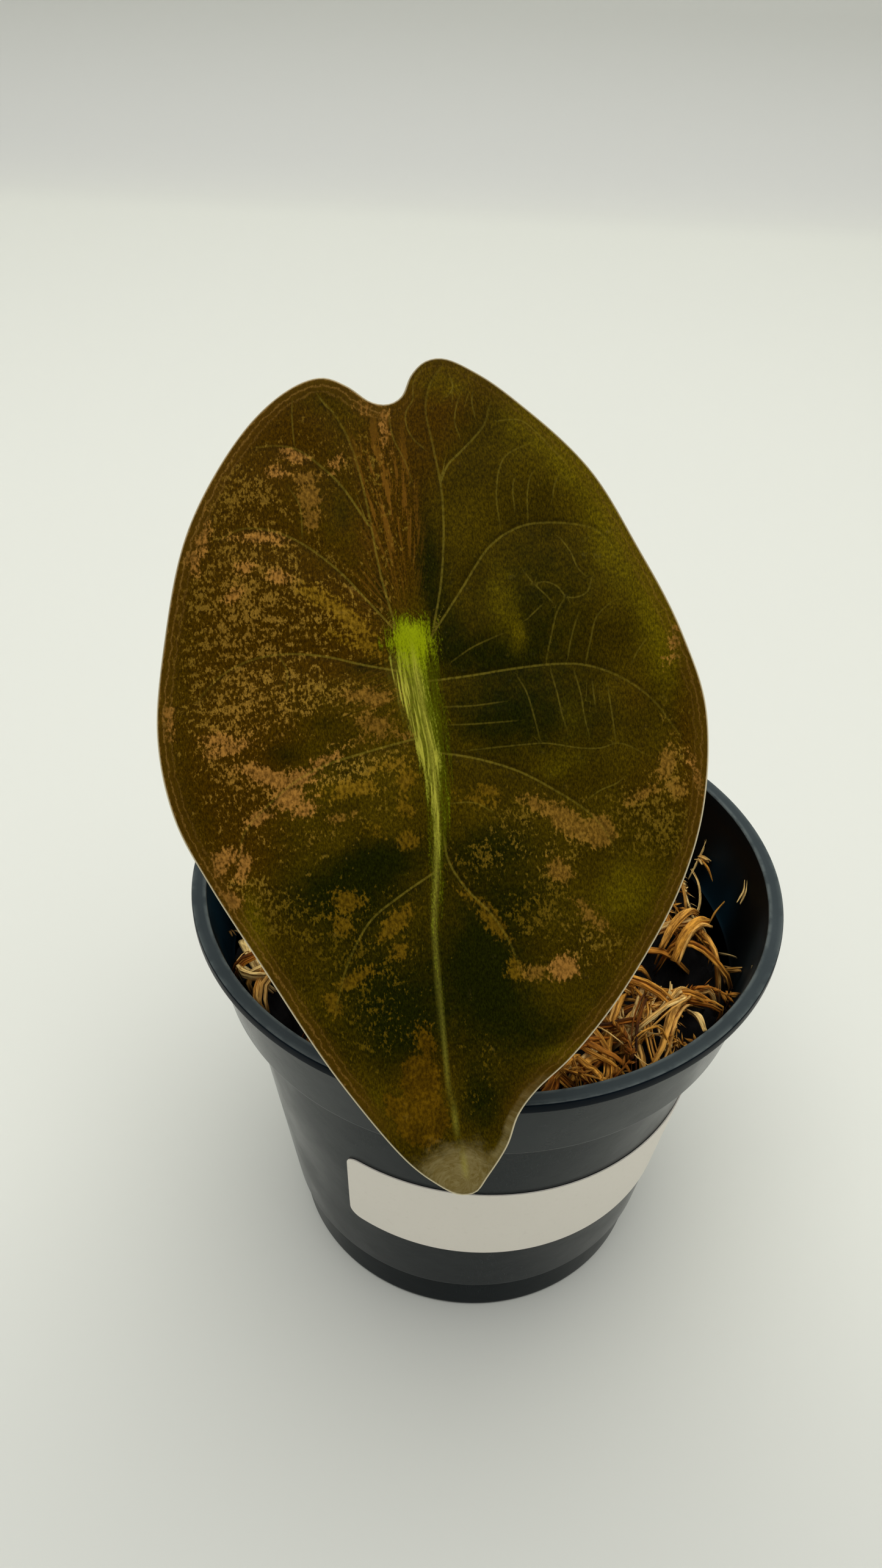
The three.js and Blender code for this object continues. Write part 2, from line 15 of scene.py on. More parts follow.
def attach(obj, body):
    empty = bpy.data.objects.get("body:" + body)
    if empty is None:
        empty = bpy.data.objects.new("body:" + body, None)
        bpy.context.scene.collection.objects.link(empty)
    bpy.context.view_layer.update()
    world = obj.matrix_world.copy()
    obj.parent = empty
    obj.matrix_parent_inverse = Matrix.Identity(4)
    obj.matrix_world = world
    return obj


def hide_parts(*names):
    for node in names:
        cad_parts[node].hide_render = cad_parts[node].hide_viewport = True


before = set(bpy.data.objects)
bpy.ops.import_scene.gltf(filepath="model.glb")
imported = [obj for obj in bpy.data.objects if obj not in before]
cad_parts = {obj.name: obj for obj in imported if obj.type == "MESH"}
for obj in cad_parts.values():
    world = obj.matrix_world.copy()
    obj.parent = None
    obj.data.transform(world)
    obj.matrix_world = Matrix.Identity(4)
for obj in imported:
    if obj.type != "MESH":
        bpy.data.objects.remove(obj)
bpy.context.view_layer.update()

MM = 0.001
BODY = "root"
TURN = 2 * math.pi

# Camera: over the front of the pot, looking down at the leaf
CAMERA_PLACE = (0.0, -0.11926, 0.16824)
CAMERA_TILT = math.radians(52.0)
CAMERA_TURN = math.radians(2.43)
CAMERA_ROLL = math.radians(3.97)
CAMERA_LENS = 28.03
CAMERA_SENSOR = 36
CAMERA_NEAREST = 0.01

# Studio: a pale floor that sweeps up into a wall behind
FLOOR_FRONT = -1.4
FLOOR_BACK = 0.62
SWEEP_RADIUS = 0.09
WALL_TOP = 1.5
STAGE_HALF_WIDTH = 2.2
STAGE_PALE = (0.80, 0.81, 0.74, 1)
STAGE_MOTTLE = (0.788, 0.79785, 0.7289, 1)
# The sheet is painted greyer as shade from one depth to the next, up the wall and towards the front, where
# less light falls
WALL_SHADE_DEPTHS = (0.58, 0.68)
WALL_PAINTED_SHADE = (0.69, 0.695, 0.655, 1)
FRONT_SHADE_DEPTHS = (0.0, -0.07)
FRONT_PAINTED_SHADE = (0.68, 0.69, 0.635, 1)
LAMP_SIZE = 1.3
LAMP_COLOUR = (1.0, 0.995, 0.975)
LAMP_PLACE = (0.0, 0.0, 1.05)
LAMP_POWER = 9.4
WORLD_LIGHT_LOW = 0.1
WORLD_LIGHT_HIGH = 0.65
WORLD_COLOUR = (0.98, 0.99, 1.0, 1)

# Pot
POT_SEGMENTS = 240
POT_HEIGHT = 62
RIM_RADIUS = 38
LIP_WIDTH = 1.8
LIP_HEIGHT = 1.7
WALL = 1.0
COLLAR_TOP_RADIUS = 36.7
COLLAR_FOOT_RADIUS = 34.8
COLLAR_FOOT_Z = 48.8
LEDGE_HEIGHT = 0.8
BODY_TOP_RADIUS = 32.5
BODY_FOOT_RADIUS = 27.1
BODY_FOOT_Z = 7.4
FOOT_RADIUS = 25.9
FOOT_STEP_HEIGHT = 0.7
BASE_ROUNDING = 0.8
FLOOR_THICKNESS = 1.4
DRAIN_HOLES = 6
DRAIN_RADIUS = 2.5
DRAIN_CIRCLE_RADIUS = 18
BODY_PAINTED_LIGHT_SHARE = 0.7
# Painted reflections, paler places on the pot's inner wall: middle, radius and strength
INNER_BLUE_REFLECTION_SPOTS = [
    ((-34.5, -9, 56), 6.5, 1.0), ((31.5, 12, 50.5), 2.6, 0.6), ((32.3, 7, 50.5), 2.8, 0.6),
]
INNER_GREY_REFLECTION_SPOTS = [
    ((33, -9, 56), 5, 0.7), ((29, -20, 60), 5, 0.8), ((31.5, -15, 57), 4, 0.5),
]

# Label: angles are from the front towards the right
LABEL_START_DEG = -29.5
LABEL_END_DEG = 103
LABEL_LOW_Z = 18.2
LABEL_HEIGHT = 16.3
LABEL_DROP_PER_DEG = 0.0145
LABEL_LEAN_DEG = 2.6
LABEL_CORNER = 1.8
LABEL_GAP = 0.05
LABEL_THICKNESS = 0.16
LABEL_COLUMNS = 150
LABEL_ROWS = 14

# Moss
MOSS_TOP_Z = 54.5
MOSS_RISE_TO_FRONT = 0.11
MOSS_FALL_TO_RIGHT = 0.05
MOSS_BUMP = 1
MOSS_EDGE_RADIUS = 33.3
MOSS_FLOOR_Z = 44
BED_RINGS = 64
BED_COLUMNS = 200
MOSS_SEED = 4127
MOSS_BUNDLES = 350
BUNDLE_STEPS = 13
MOSS_THREADS = 260
THREAD_STEPS = 14
PATH_KNOTS = 6
KNOT_GAP = 0.9
END_SINK = 1.6
NUMBERS_PER_BUNDLE = 7
FEATHERED_SHARE = 0.45
LEAFLETS_PER_MM = 3.2
STRAND_SIDES = 5
WALL_GAP = 0.12
HOLLOW_SINK = 2.6
LEDGE_MARGIN = 0.8

# Corm, sheath and petiole
STEM_PLACE = (-1, 2)
SHEATH_TOP_Z = 63
SHEATH_RADIUS = 3.2
SHEATH_SLANT = math.radians(32)
PETIOLE_BASE_RADIUS = 2.1
PETIOLE_TOP_RADIUS = 1.6
SOCKET_FLOOR_Z = 50.35
ROOTS = 5
ROOT_LENGTH = 17
PETIOLE_SIDES = 28
CORM_SEGMENTS = 56
CORM_FOOT_Z = 36
CORM_TOP_Z = 50.5
# Heights and outer radii of the corm and its sheath, and the sheath's bore as (radius, height)
CORM_OUTLINE = ([36, 38.5, 42, 46, 50.5, 54.5, 63], [2.6, 5.4, 6.1, 5.6, 4, 3.25, 2.95])
SHEATH_BORE = [(2.55, 63.05), (2.35, 61), (2.3, 50.1), (0, 50)]
SCAR_DEPTH = 0.12

# Leaf
LEAF_PLACE = (-9.2, -15.7, 106.4)
LEAF_YAW = math.radians(3.1)
LEAF_TILT = math.radians(52)
LEAF_SPIN = math.radians(8)
BLADE_THICKNESS = 0.5
SIDE_DROOP = 0.0034
TIP_DROOP = 0.0007
LOBE_DROOP = 0.0016
CHANNEL_DEPTH = 0.6
CHANNEL_WIDTH = 3
MARGIN_WAVE = 0.35
MARGIN_WAVES = 9
LEAF_COLUMNS = 400
LEAF_RINGS = 90
EDGE_ROUNDING = 0.4
BOSS_RADIUS = 2.2
BOSS_DEPTH = 1.95
MIDRIB_RIDGE = (1.3, 0.4)
LATERAL_RIDGE = (0.65, 0.3)
PUFF_HEIGHT = 0.42
MINOR_PUFF_HEIGHT = 0.07
GROOVE_DEPTH = 0.14
MIDRIB_RISE = 0.28
TIP_MIDDLE = (-1.3, -55.2)
SPOT_MIDDLE_Y = -1.1
SPOT_RADIUS = 2.05

OUTLINE = [
    (0.2, 22.6), (-1.5, 22.9), (-3.7, 24.6), (-6.1, 25.7), (-9.5, 25), (-14.5, 21.5),
    (-20.6, 12.9), (-24.5, 2), (-26.3, -7.5), (-25.4, -16.4), (-22.7, -23.2), (-17.3, -33.4),
    (-11.8, -44), (-6.1, -52.3), (-3.4, -55), (-1, -56.7), (0.7, -56.7), (2.1, -55.2),
    (4.4, -52.2), (5.8, -49.2), (7.8, -46.9), (11.7, -43.8), (18.1, -37.3), (24, -28.9),
    (27.7, -19.8), (28.9, -10.5), (27.1, -3), (23.8, 5.3), (19.7, 13.9), (13.1, 21.2),
    (9.4, 24.6), (6.1, 26.6), (4.2, 26.5), (2.7, 25.3), (1.5, 23.2),
]
MIDRIB = [
    (0, 0.8), (0.1, -3), (0.5, -8), (0.9, -12.5), (0.8, -17), (0.5, -21), (0, -25), (-0.6, -29),
    (-0.8, -33), (-0.9, -40), (-0.8, -46), (-0.4, -51), (0, -55),
]
LATERALS = [
    [(2.2, -0.6), (3.5, 4.1), (4.3, 9.2), (4.5, 13.4), (4.1, 18), (3.8, 21.7), (4.6, 24.2), (5.7, 25.6)],
    [(4.5, 14.1), (5.4, 15.7), (6.7, 16.8), (8.3, 18.2), (9.4, 19.4), (10.1, 21.2)],
    [(2, -1), (5.3, 3.1), (8.6, 7.2), (10.7, 8.5), (12.8, 9.1), (17, 8.8), (19.4, 8), (20.6, 6.6)],
    [
        (1.2, -5.3), (5, -5.25), (10, -4.95), (14, -4.9),
        (17, -5.3), (20.5, -6.9), (23.4, -9.4), (25.8, -13.2),
    ],
    [(1.4, -12.4), (4.6, -13.2), (9.1, -15), (12.9, -17.5), (15.4, -19.5), (17, -21.5), (17.9, -23.4)],
    [(1.2, -20.5), (1.4, -23), (2.7, -25.8), (5.1, -28.8), (6.6, -31.8), (7.4, -34.4)],
    [(-1.4, 0.4), (-2.3, 5.6), (-3.1, 14), (-4, 18.9), (-5.2, 21.8), (-6.6, 23.8)],
    [(-3, 10.6), (-5.2, 14.6), (-7.1, 16.9), (-9.4, 18.9), (-11.4, 19.5), (-13.2, 19.6)],
    [(-1.6, 0.2), (-3.9, 3.2), (-6.4, 6.4), (-9.9, 9.6), (-12.7, 11.1), (-15.4, 11.6), (-17.8, 10.9)],
    [(-1.6, -4), (-4.9, -3.1), (-8.5, -1.9), (-12.5, -1.2), (-15.9, -1.4), (-19.1, -2.6), (-21.7, -4.7)],
    [
        (-0.6, -10.8), (-5.8, -11.7), (-9.6, -12.5), (-12.6, -13.7),
        (-16.2, -16.2), (-18.5, -18.4), (-19.2, -20.5),
    ],
    [(-0.2, -24.2), (-3.7, -26.1), (-6.7, -28.1), (-8.6, -30.6), (-10, -33.3), (-11.3, -37)],
]
MINOR_VEINS = [
    [(9.9, 9), (9.8, 12), (10.4, 14.8), (11.2, 16), (13.6, 17)],
    [(12.7, 9.4), (12.9, 12.2), (13.4, 13.8), (13.8, 14.2)],
    [(15.3, 11.2), (15.7, 12.8), (16.3, 13.8)],
    [(11.5, 10.6), (11.5, 12.8), (11.9, 14)],
    [(6.9, 18.2), (6.5, 19.8), (6.8, 21.3), (7.4, 22.8)],
    [(8.6, 20.2), (8.4, 21.6), (8.6, 22.8)],
    [(6, 22.5), (6.7, 23.4), (6.5, 24.7)],
    [(3.2, 17.6), (2.2, 18.8), (1.7, 20.4), (1.9, 21.7), (2.6, 22.6), (2.9, 24.6), (4, 25.8)],
    [(17, -4.9), (17.6, -3), (18.5, -0.6), (20.3, 0.8)],
    [(13, -4.6), (13.8, -2), (14.6, 0.2), (15.6, 1.6)],
    [(18.4, 3.3), (17.8, 1.9), (16.6, 1.4), (15.6, 1.6), (14.9, 2.6), (13.7, 3.2), (12.2, 3)],
    [(15.6, 7.6), (16.5, 6.1), (17.1, 4.3), (17.8, 3.4)],
    [(11.7, 4.4), (12.6, 3.1), (13.7, 1.8), (14.3, 1)],
    [(11.4, -0.4), (13.2, 1)],
    [(15.2, -4.5), (15.6, -2.9), (16.1, -1.5), (16.6, -0.4)],
    [(23.2, -3.3), (22.4, -4.2), (21.5, -5.6)],
    [(3.9, -3.6), (5.7, -2.6), (7.9, -1.8), (9.2, -1.4)],
    [(10, -5.7), (10.7, -7.2), (11.1, -9), (11.6, -12.2)],
    [(13.4, -5.6), (13.8, -8), (14, -9.9), (14.4, -11.6)],
    [(15.7, -5.8), (16.1, -8), (16.2, -10.1), (16.5, -12.4)],
    [(17.4, -6.9), (17.4, -9.6)],
    [(18.9, -7.4), (19, -10.2), (19.1, -13.2)],
    [(2.5, -8), (5.2, -8.2), (8.5, -8.1)],
    [(2.5, -9.8), (5.4, -10), (9.5, -10.1)],
    [(4.3, -12.5), (9.7, -12.5), (12.2, -12.6), (15.5, -13.4), (17.5, -13.6), (19.4, -13.3), (22.4, -14.9)],
    [(15.9, -18.4), (17.2, -17.7), (18.6, -17.3), (19.6, -16.7)],
    [(2, -17.5), (4.6, -17.7), (6.4, -18.9)],
    [(10.8, 19.6), (13, 19.4), (14.6, 17.9), (17.2, 14.6)],
    [(-9.6, 10.1), (-9.5, 12.9), (-9.8, 13.9), (-10.4, 15)],
    [(-9.5, 19.4), (-9.4, 22.6), (-9.2, 24)],
    [(-13, -1.4), (-12.4, -3.2), (-12.8, -4.8)],
    [(0.1, 21.6), (0.3, 19), (1.2, 16.6), (1.7, 14.6)],
    [(-5.2, 22), (-6, 22.8), (-6.6, 23.9)],
]


def srgb(red, green, blue):
    """A screen colour from 0 to 255 as the linear values that shaders use."""
    parts = []
    for part in (red, green, blue):
        share = part / 255
        parts.append(share / 12.92 if share <= 0.04045 else ((share + 0.055) / 1.055) ** 2.4)
    return (*parts, 1.0)


# Meshes


def centripetal(points, closed=False, samples=12):
    """Points along a centripetal Catmull-Rom curve, with samples to each span."""
    points = np.array(points, float)
    count = len(points)
    spans = count if closed else count - 1
    shares = np.arange(samples)[:, None] / samples
    pieces = []
    for span in range(spans):
        if closed:
            a, b, c, d = (points[(span + offset) % count] for offset in (-1, 0, 1, 2))
        else:
            b, c = points[span], points[span + 1]
            a = points[span - 1] if span > 0 else 2 * b - c
            d = points[span + 2] if span + 2 < count else 2 * c - b
        pairs = ((a, b), (b, c), (c, d))
        before, here, after = (max(np.linalg.norm(q - p) ** 0.5, 1e-6) for p, q in pairs)
        leave = ((b - a) / before - (c - a) / (before + here) + (c - b) / here) * here
        arrive = ((c - b) / here - (d - b) / (here + after) + (d - c) / after) * here
        cubic = 2 * b - 2 * c + leave + arrive
        square = -3 * b + 3 * c - 2 * leave - arrive
        pieces.append(((cubic * shares + square) * shares + leave) * shares + b)
    if not closed:
        pieces.append(points[-1:])
    return np.concatenate(pieces)


def evenly(points, count, closed=False):
    """count points at equal steps along a polyline."""
    line = np.vstack([points, points[:1]]) if closed else np.asarray(points)
    travelled = np.concatenate([[0], np.cumsum(np.linalg.norm(np.diff(line, axis=0), axis=1))])
    wanted = np.linspace(0, travelled[-1], count + 1 if closed else count)
    if closed:
        wanted = wanted[:-1]
    return np.stack([np.interp(wanted, travelled, line[:, axis]) for axis in range(line.shape[1])], 1)


def smooth_step(value, low, high):
    share = np.clip((value - low) / (high - low), 0, 1)
    return share * share * (3 - 2 * share)


def bell(distance, width, power=2):
    """1 at no distance, and falling smoothly to 0 beyond a width."""
    return np.exp(-((distance / width) ** power))


def make_mesh(name, points, quads, triangles=(), sharp_angle=None):
    """A mesh object from points in millimetres, with smooth faces."""
    points = np.asarray(points, float) * MM
    quads = np.asarray(quads, int).reshape(-1, 4)
    triangles = np.asarray(triangles, int).reshape(-1, 3)
    mesh = bpy.data.meshes.new(name)
    mesh.vertices.add(len(points))
    mesh.vertices.foreach_set("co", points.ravel())
    corners = np.concatenate([quads.ravel(), triangles.ravel()])
    mesh.loops.add(len(corners))
    mesh.loops.foreach_set("vertex_index", corners)
    mesh.polygons.add(len(quads) + len(triangles))
    ends = np.arange(len(triangles)) * 3 + len(quads) * 4
    starts = np.concatenate([np.arange(len(quads)) * 4, ends])
    mesh.polygons.foreach_set("loop_start", starts)
    mesh.polygons.foreach_set("use_smooth", np.ones(len(starts), bool))
    mesh.update(calc_edges=True)
    mesh.validate()
    if sharp_angle:
        mesh.set_sharp_from_angle(angle=math.radians(sharp_angle))
    piece = bpy.data.objects.new(name, mesh)
    bpy.context.scene.collection.objects.link(piece)
    return piece


def add_field(piece, name, values):
    """Stores one number, or one vector, for each point of a mesh."""
    values = np.asarray(values, np.float32)
    kind, key = ("FLOAT", "value") if values.ndim == 1 else ("FLOAT_VECTOR", "vector")
    attribute = piece.data.attributes.new(name, kind, "POINT")
    attribute.data.foreach_set(key, values.ravel())


def grid(rows, columns, start=0, closed_rows=False, closed_columns=True):
    """Quads between the points of a grid that are numbered row by row from start."""
    row, column = np.meshgrid(
        np.arange(rows if closed_rows else rows - 1),
        np.arange(columns if closed_columns else columns - 1),
        indexing="ij",
    )
    next_row, next_column = (row + 1) % rows, (column + 1) % columns
    corners = ((row, column), (next_row, column), (next_row, next_column), (row, next_column))
    return np.stack([start + down * columns + across for down, across in corners], -1).reshape(-1, 4)


def fan(columns):
    """Triangles between the first point and the ring of points that follows it."""
    spokes = np.arange(columns)
    return np.stack([np.zeros(columns, int), 1 + spokes, 1 + (spokes + 1) % columns], 1)


def add_piece(piece, slot, nodes, *materials):
    """Gives a finished piece its materials and body, and hides the model's nodes that it stands for; slot is
    not used.
    """
    for material in materials:
        piece.data.materials.append(material)
    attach(piece, BODY)
    if nodes:
        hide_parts(*nodes)


def lathe(profile, segments):
    """Points and quads of a closed profile of (radius, height) turned about the Z axis."""
    profile = np.array(profile, float)
    angles = np.arange(segments) / segments * TURN
    radius, height = profile[:, 0], profile[:, 1]
    x = np.sin(angles)[:, None] * radius
    y = -np.cos(angles)[:, None] * radius
    z = np.broadcast_to(height, x.shape)
    points = np.stack([x, y, z], -1).reshape(-1, 3)
    return points, grid(segments, len(profile), closed_rows=True)


def weld(piece, reach, on_axis=False):
    """Welds points that lie within reach of one another: all of a piece's, or those on its axis."""
    shape = bmesh.new()
    shape.from_mesh(piece.data)
    points = [vertex for vertex in shape.verts if not on_axis or vertex.co.xy.length < reach / 10]
    bmesh.ops.remove_doubles(shape, verts=points, dist=reach)
    bmesh.ops.dissolve_degenerate(shape, dist=reach / 10, edges=shape.edges)
    shape.to_mesh(piece.data)
    shape.free()


def tube_frames(centres):
    """Two directions square to a path at each of its points, turning as little as they can."""
    tangents = np.gradient(centres, axis=0)
    tangents /= np.linalg.norm(tangents, axis=1)[:, None]
    normal = np.array([0, 0, 1.0]) if abs(tangents[0][2]) < 0.9 else np.array([1.0, 0, 0])
    normals = np.empty_like(centres)
    for index, tangent in enumerate(tangents):
        normal = normal - tangent * (normal @ tangent)
        normal = normal / np.linalg.norm(normal)
        normals[index] = normal
    return normals, np.cross(tangents, normals)


def tube(centres, across, thick, sides, twist=0.0):
    """Points and quads of a tube whose half widths change along a path; its ends close to a point."""
    normals, binormals = tube_frames(centres)
    steps = len(centres)
    turn = np.linspace(0, twist, steps)[:, None, None]
    angles = (np.arange(sides) / sides * TURN)[None, :, None]
    wide = np.cos(angles) * np.asarray(across)[:, None, None]
    deep = np.sin(angles) * np.asarray(thick)[:, None, None]
    first = wide * np.cos(turn) - deep * np.sin(turn)
    second = wide * np.sin(turn) + deep * np.cos(turn)
    points = centres[:, None, :] + binormals[:, None, :] * first + normals[:, None, :] * second
    quads = grid(steps, sides)[:, [0, 3, 2, 1]]
    caps = []
    for number in range(1, sides - 1):
        last = (steps - 1) * sides
        caps.append((0, number + 1, number))
        caps.append((last, last + number, last + number + 1))
    return points.reshape(-1, 3), quads, np.array(caps)


class Heap:
    """Gathers the points and faces of many small closed shapes into one mesh."""

    def __init__(self):
        self.points, self.quads, self.triangles, self.fields = [], [], [], {}
        self.size = 0

    def add(self, points, quads, triangles=(), **fields):
        self.points.append(points)
        self.quads.append(np.asarray(quads, int).reshape(-1, 4) + self.size)
        self.triangles.append(np.asarray(triangles, int).reshape(-1, 3) + self.size)
        for name, values in fields.items():
            if np.ndim(values) < 2:
                values = np.broadcast_to(values, len(points))
            self.fields.setdefault(name, []).append(values)
        self.size += len(points)

    def build(self, name):
        points = np.concatenate(self.points)
        piece = make_mesh(name, points, np.concatenate(self.quads), np.concatenate(self.triangles))
        for field, values in self.fields.items():
            add_field(piece, field, np.concatenate(values))
        return piece


# Materials


class Value:
    """A node's output, with plain arithmetic for the maths nodes that take it further."""

    def __init__(self, shader, socket):
        self.shader, self.socket = shader, socket

    def __add__(self, other):
        return self.shader.math("ADD", self, other)

    def __sub__(self, other):
        return self.shader.math("SUBTRACT", self, other)

    def __rsub__(self, other):
        return self.shader.math("SUBTRACT", other, self)

    def __mul__(self, other):
        return self.shader.math("MULTIPLY", self, other)

    def __abs__(self):
        return self.shader.math("ABSOLUTE", self)


class Shader:
    """A material's node tree, with short forms for the nodes that this scene uses."""

    def __init__(self, name, **sockets):
        self.material = bpy.data.materials.new(name)
        self.material.use_nodes = True
        self.tree = self.material.node_tree
        self.surface = self.tree.nodes["Principled BSDF"]
        self.finish(**sockets)

    def wire(self, value, socket):
        if isinstance(value, Value):
            self.tree.links.new(value.socket, socket)
        else:
            socket.default_value = value

    def node(self, kind, output, inputs, **settings):
        """One output of a new node, with its settings made and its inputs wired."""
        node = self.tree.nodes.new("ShaderNode" + kind)
        for setting, value in settings.items():
            setattr(node, setting, value)
        for key, value in inputs.items():
            self.wire(value, node.inputs[key])
        return Value(self, node.outputs[output])

    def math(self, operation, first, second=0.0):
        return self.node("Math", 0, {0: first, 1: second}, operation=operation)

    def mix(self, share, first, second, blend="MIX"):
        inputs = {0: share, 6: first, 7: second}
        return self.node("Mix", 2, inputs, data_type="RGBA", blend_type=blend)

    def tinted(self, tone, tint):
        return self.mix(1.0, tone, tint, "MULTIPLY")

    def between(self, value, low, high, result_low=0.0, result_high=1.0):
        """A smooth step of value from low to high."""
        inputs = {0: value, 1: low, 2: high, 3: result_low, 4: result_high}
        return self.node("MapRange", 0, inputs, interpolation_type="SMOOTHSTEP")

    def field(self, name, output="Fac"):
        return self.node("Attribute", output, {}, attribute_name=name)

    def place(self, name):
        return self.field(name, "Vector")

    def object_place(self):
        return self.node("TexCoord", "Object", {})

    def part(self, vector, axis):
        return self.node("SeparateXYZ", axis, {0: vector})

    def stretched(self, vector, scale):
        return self.node("Mapping", 0, {"Vector": vector, "Scale": scale})

    def noise(self, vector, scale, detail=2.0, roughness=0.5, distortion=0.0):
        inputs = {"Vector": vector, "Scale": scale, "Detail": detail, "Roughness": roughness}
        return self.node("TexNoise", "Fac", {**inputs, "Distortion": distortion})

    def bump(self, height, distance, strength=1.0, under=None):
        inputs = {"Height": height, "Distance": distance, "Strength": strength}
        if under is not None:
            inputs["Normal"] = under
        return self.node("Bump", 0, inputs)

    def finish(self, **sockets):
        """The material, with sockets of its surface set or wired."""
        for socket, value in sockets.items():
            self.wire(value, self.surface.inputs[socket.replace("_", " ")])
        return self.material


# Camera and studio


def make_camera():
    camera = bpy.data.objects.new("camera", bpy.data.cameras.new("camera"))
    camera.data.lens = CAMERA_LENS
    camera.data.sensor_width = CAMERA_SENSOR
    camera.data.sensor_fit = "AUTO"
    camera.data.clip_start = CAMERA_NEAREST
    camera.matrix_world = (
        Matrix.Translation(CAMERA_PLACE)
        @ Matrix.Rotation(CAMERA_TILT, 4, "X")
        @ (Matrix.Rotation(CAMERA_TURN, 4, "Y") @ Matrix.Rotation(CAMERA_ROLL, 4, "Z"))
    )
    bpy.context.scene.collection.objects.link(camera)
    bpy.context.scene.camera = camera


def make_stage():
    """The floor and wall in one smooth sheet."""
    profile = [(FLOOR_FRONT, 0.0), (-0.4, 0.0), (0.3, 0.0)]
    for step in range(17):
        angle = step / 16 * math.pi / 2
        rise = SWEEP_RADIUS * (1 - math.cos(angle))
        profile.append((FLOOR_BACK + SWEEP_RADIUS * math.sin(angle), rise))
    profile.append((FLOOR_BACK + SWEEP_RADIUS, WALL_TOP))
    points = [(side * STAGE_HALF_WIDTH / MM, y / MM, z / MM) for y, z in profile for side in (-1, 1)]
    quads = [(row * 2, row * 2 + 1, row * 2 + 3, row * 2 + 2) for row in range(len(profile) - 1)]
    stage = make_mesh("studio_sweep", points, quads)
    shader = Shader("studio_paper", Roughness=0.9, Specular_IOR_Level=0.1)
    at = shader.object_place()
    tone = shader.mix(shader.noise(at, 6.0, 3.0), STAGE_PALE, STAGE_MOTTLE)
    depth = shader.part(at, "Y")
    # Painted shade: greyer up the wall and towards the front
    tone = shader.mix(shader.between(depth, *WALL_SHADE_DEPTHS), tone, WALL_PAINTED_SHADE)
    tone = shader.mix(shader.between(depth, *FRONT_SHADE_DEPTHS), tone, FRONT_PAINTED_SHADE)
    stage.data.materials.append(shader.finish(Base_Color=tone))


def make_lights():
    lamp = bpy.data.lights.new("overhead_softbox", "AREA")
    lamp.shape = "SQUARE"
    lamp.size = LAMP_SIZE
    lamp.energy = LAMP_POWER
    lamp.color = LAMP_COLOUR
    holder = bpy.data.objects.new("overhead_softbox", lamp)
    holder.location = LAMP_PLACE
    bpy.context.scene.collection.objects.link(holder)
    world = bpy.data.worlds.new("studio_air")
    world.use_nodes = True
    tree = world.node_tree
    direction = tree.nodes.new("ShaderNodeTexCoord")
    split = tree.nodes.new("ShaderNodeSeparateXYZ")
    rise = tree.nodes.new("ShaderNodeMapRange")
    background = tree.nodes["Background"].inputs
    tree.links.new(direction.outputs["Generated"], split.inputs[0])
    tree.links.new(split.outputs["Z"], rise.inputs[0])
    tree.links.new(rise.outputs[0], background["Strength"])
    rise.inputs[3].default_value = WORLD_LIGHT_LOW
    rise.inputs[4].default_value = WORLD_LIGHT_HIGH
    background["Color"].default_value = WORLD_COLOUR
    bpy.context.scene.world = world
    bpy.context.scene.view_settings.view_transform = "Standard"


# Pot


def wall_radius(height):
    """Radius of the pot's outer face at a height."""
    collar_heights = (COLLAR_FOOT_Z, POT_HEIGHT - LIP_HEIGHT)
    collar = np.interp(height, collar_heights, (COLLAR_FOOT_RADIUS, COLLAR_TOP_RADIUS))
    body_heights = (BODY_FOOT_Z, COLLAR_FOOT_Z - LEDGE_HEIGHT)
    body = np.interp(height, body_heights, (BODY_FOOT_RADIUS, BODY_TOP_RADIUS))
    return np.where(np.asarray(height) >= COLLAR_FOOT_Z, collar, body)


def rounded(profile, radii, steps=4):
    """A closed profile with its corners rounded by the radius that goes with each."""
    result = []
    count = len(profile)
    for index, radius in enumerate(radii):
        corner = np.array(profile[index], float)
        before = np.array(profile[index - 1], float) - corner
        after = np.array(profile[(index + 1) % count], float) - corner
        reach = min(radius, np.linalg.norm(before) * 0.45, np.linalg.norm(after) * 0.45)
        if reach <= 0:
            result.append(tuple(corner))
            continue
        start = corner + before / np.linalg.norm(before) * reach
        end = corner + after / np.linalg.norm(after) * reach
        for step in range(steps + 1):
            share = step / steps
            bend = (1 - share) ** 2 * start + 2 * share * (1 - share) * corner + share ** 2 * end
            result.append(tuple(bend))
    return result


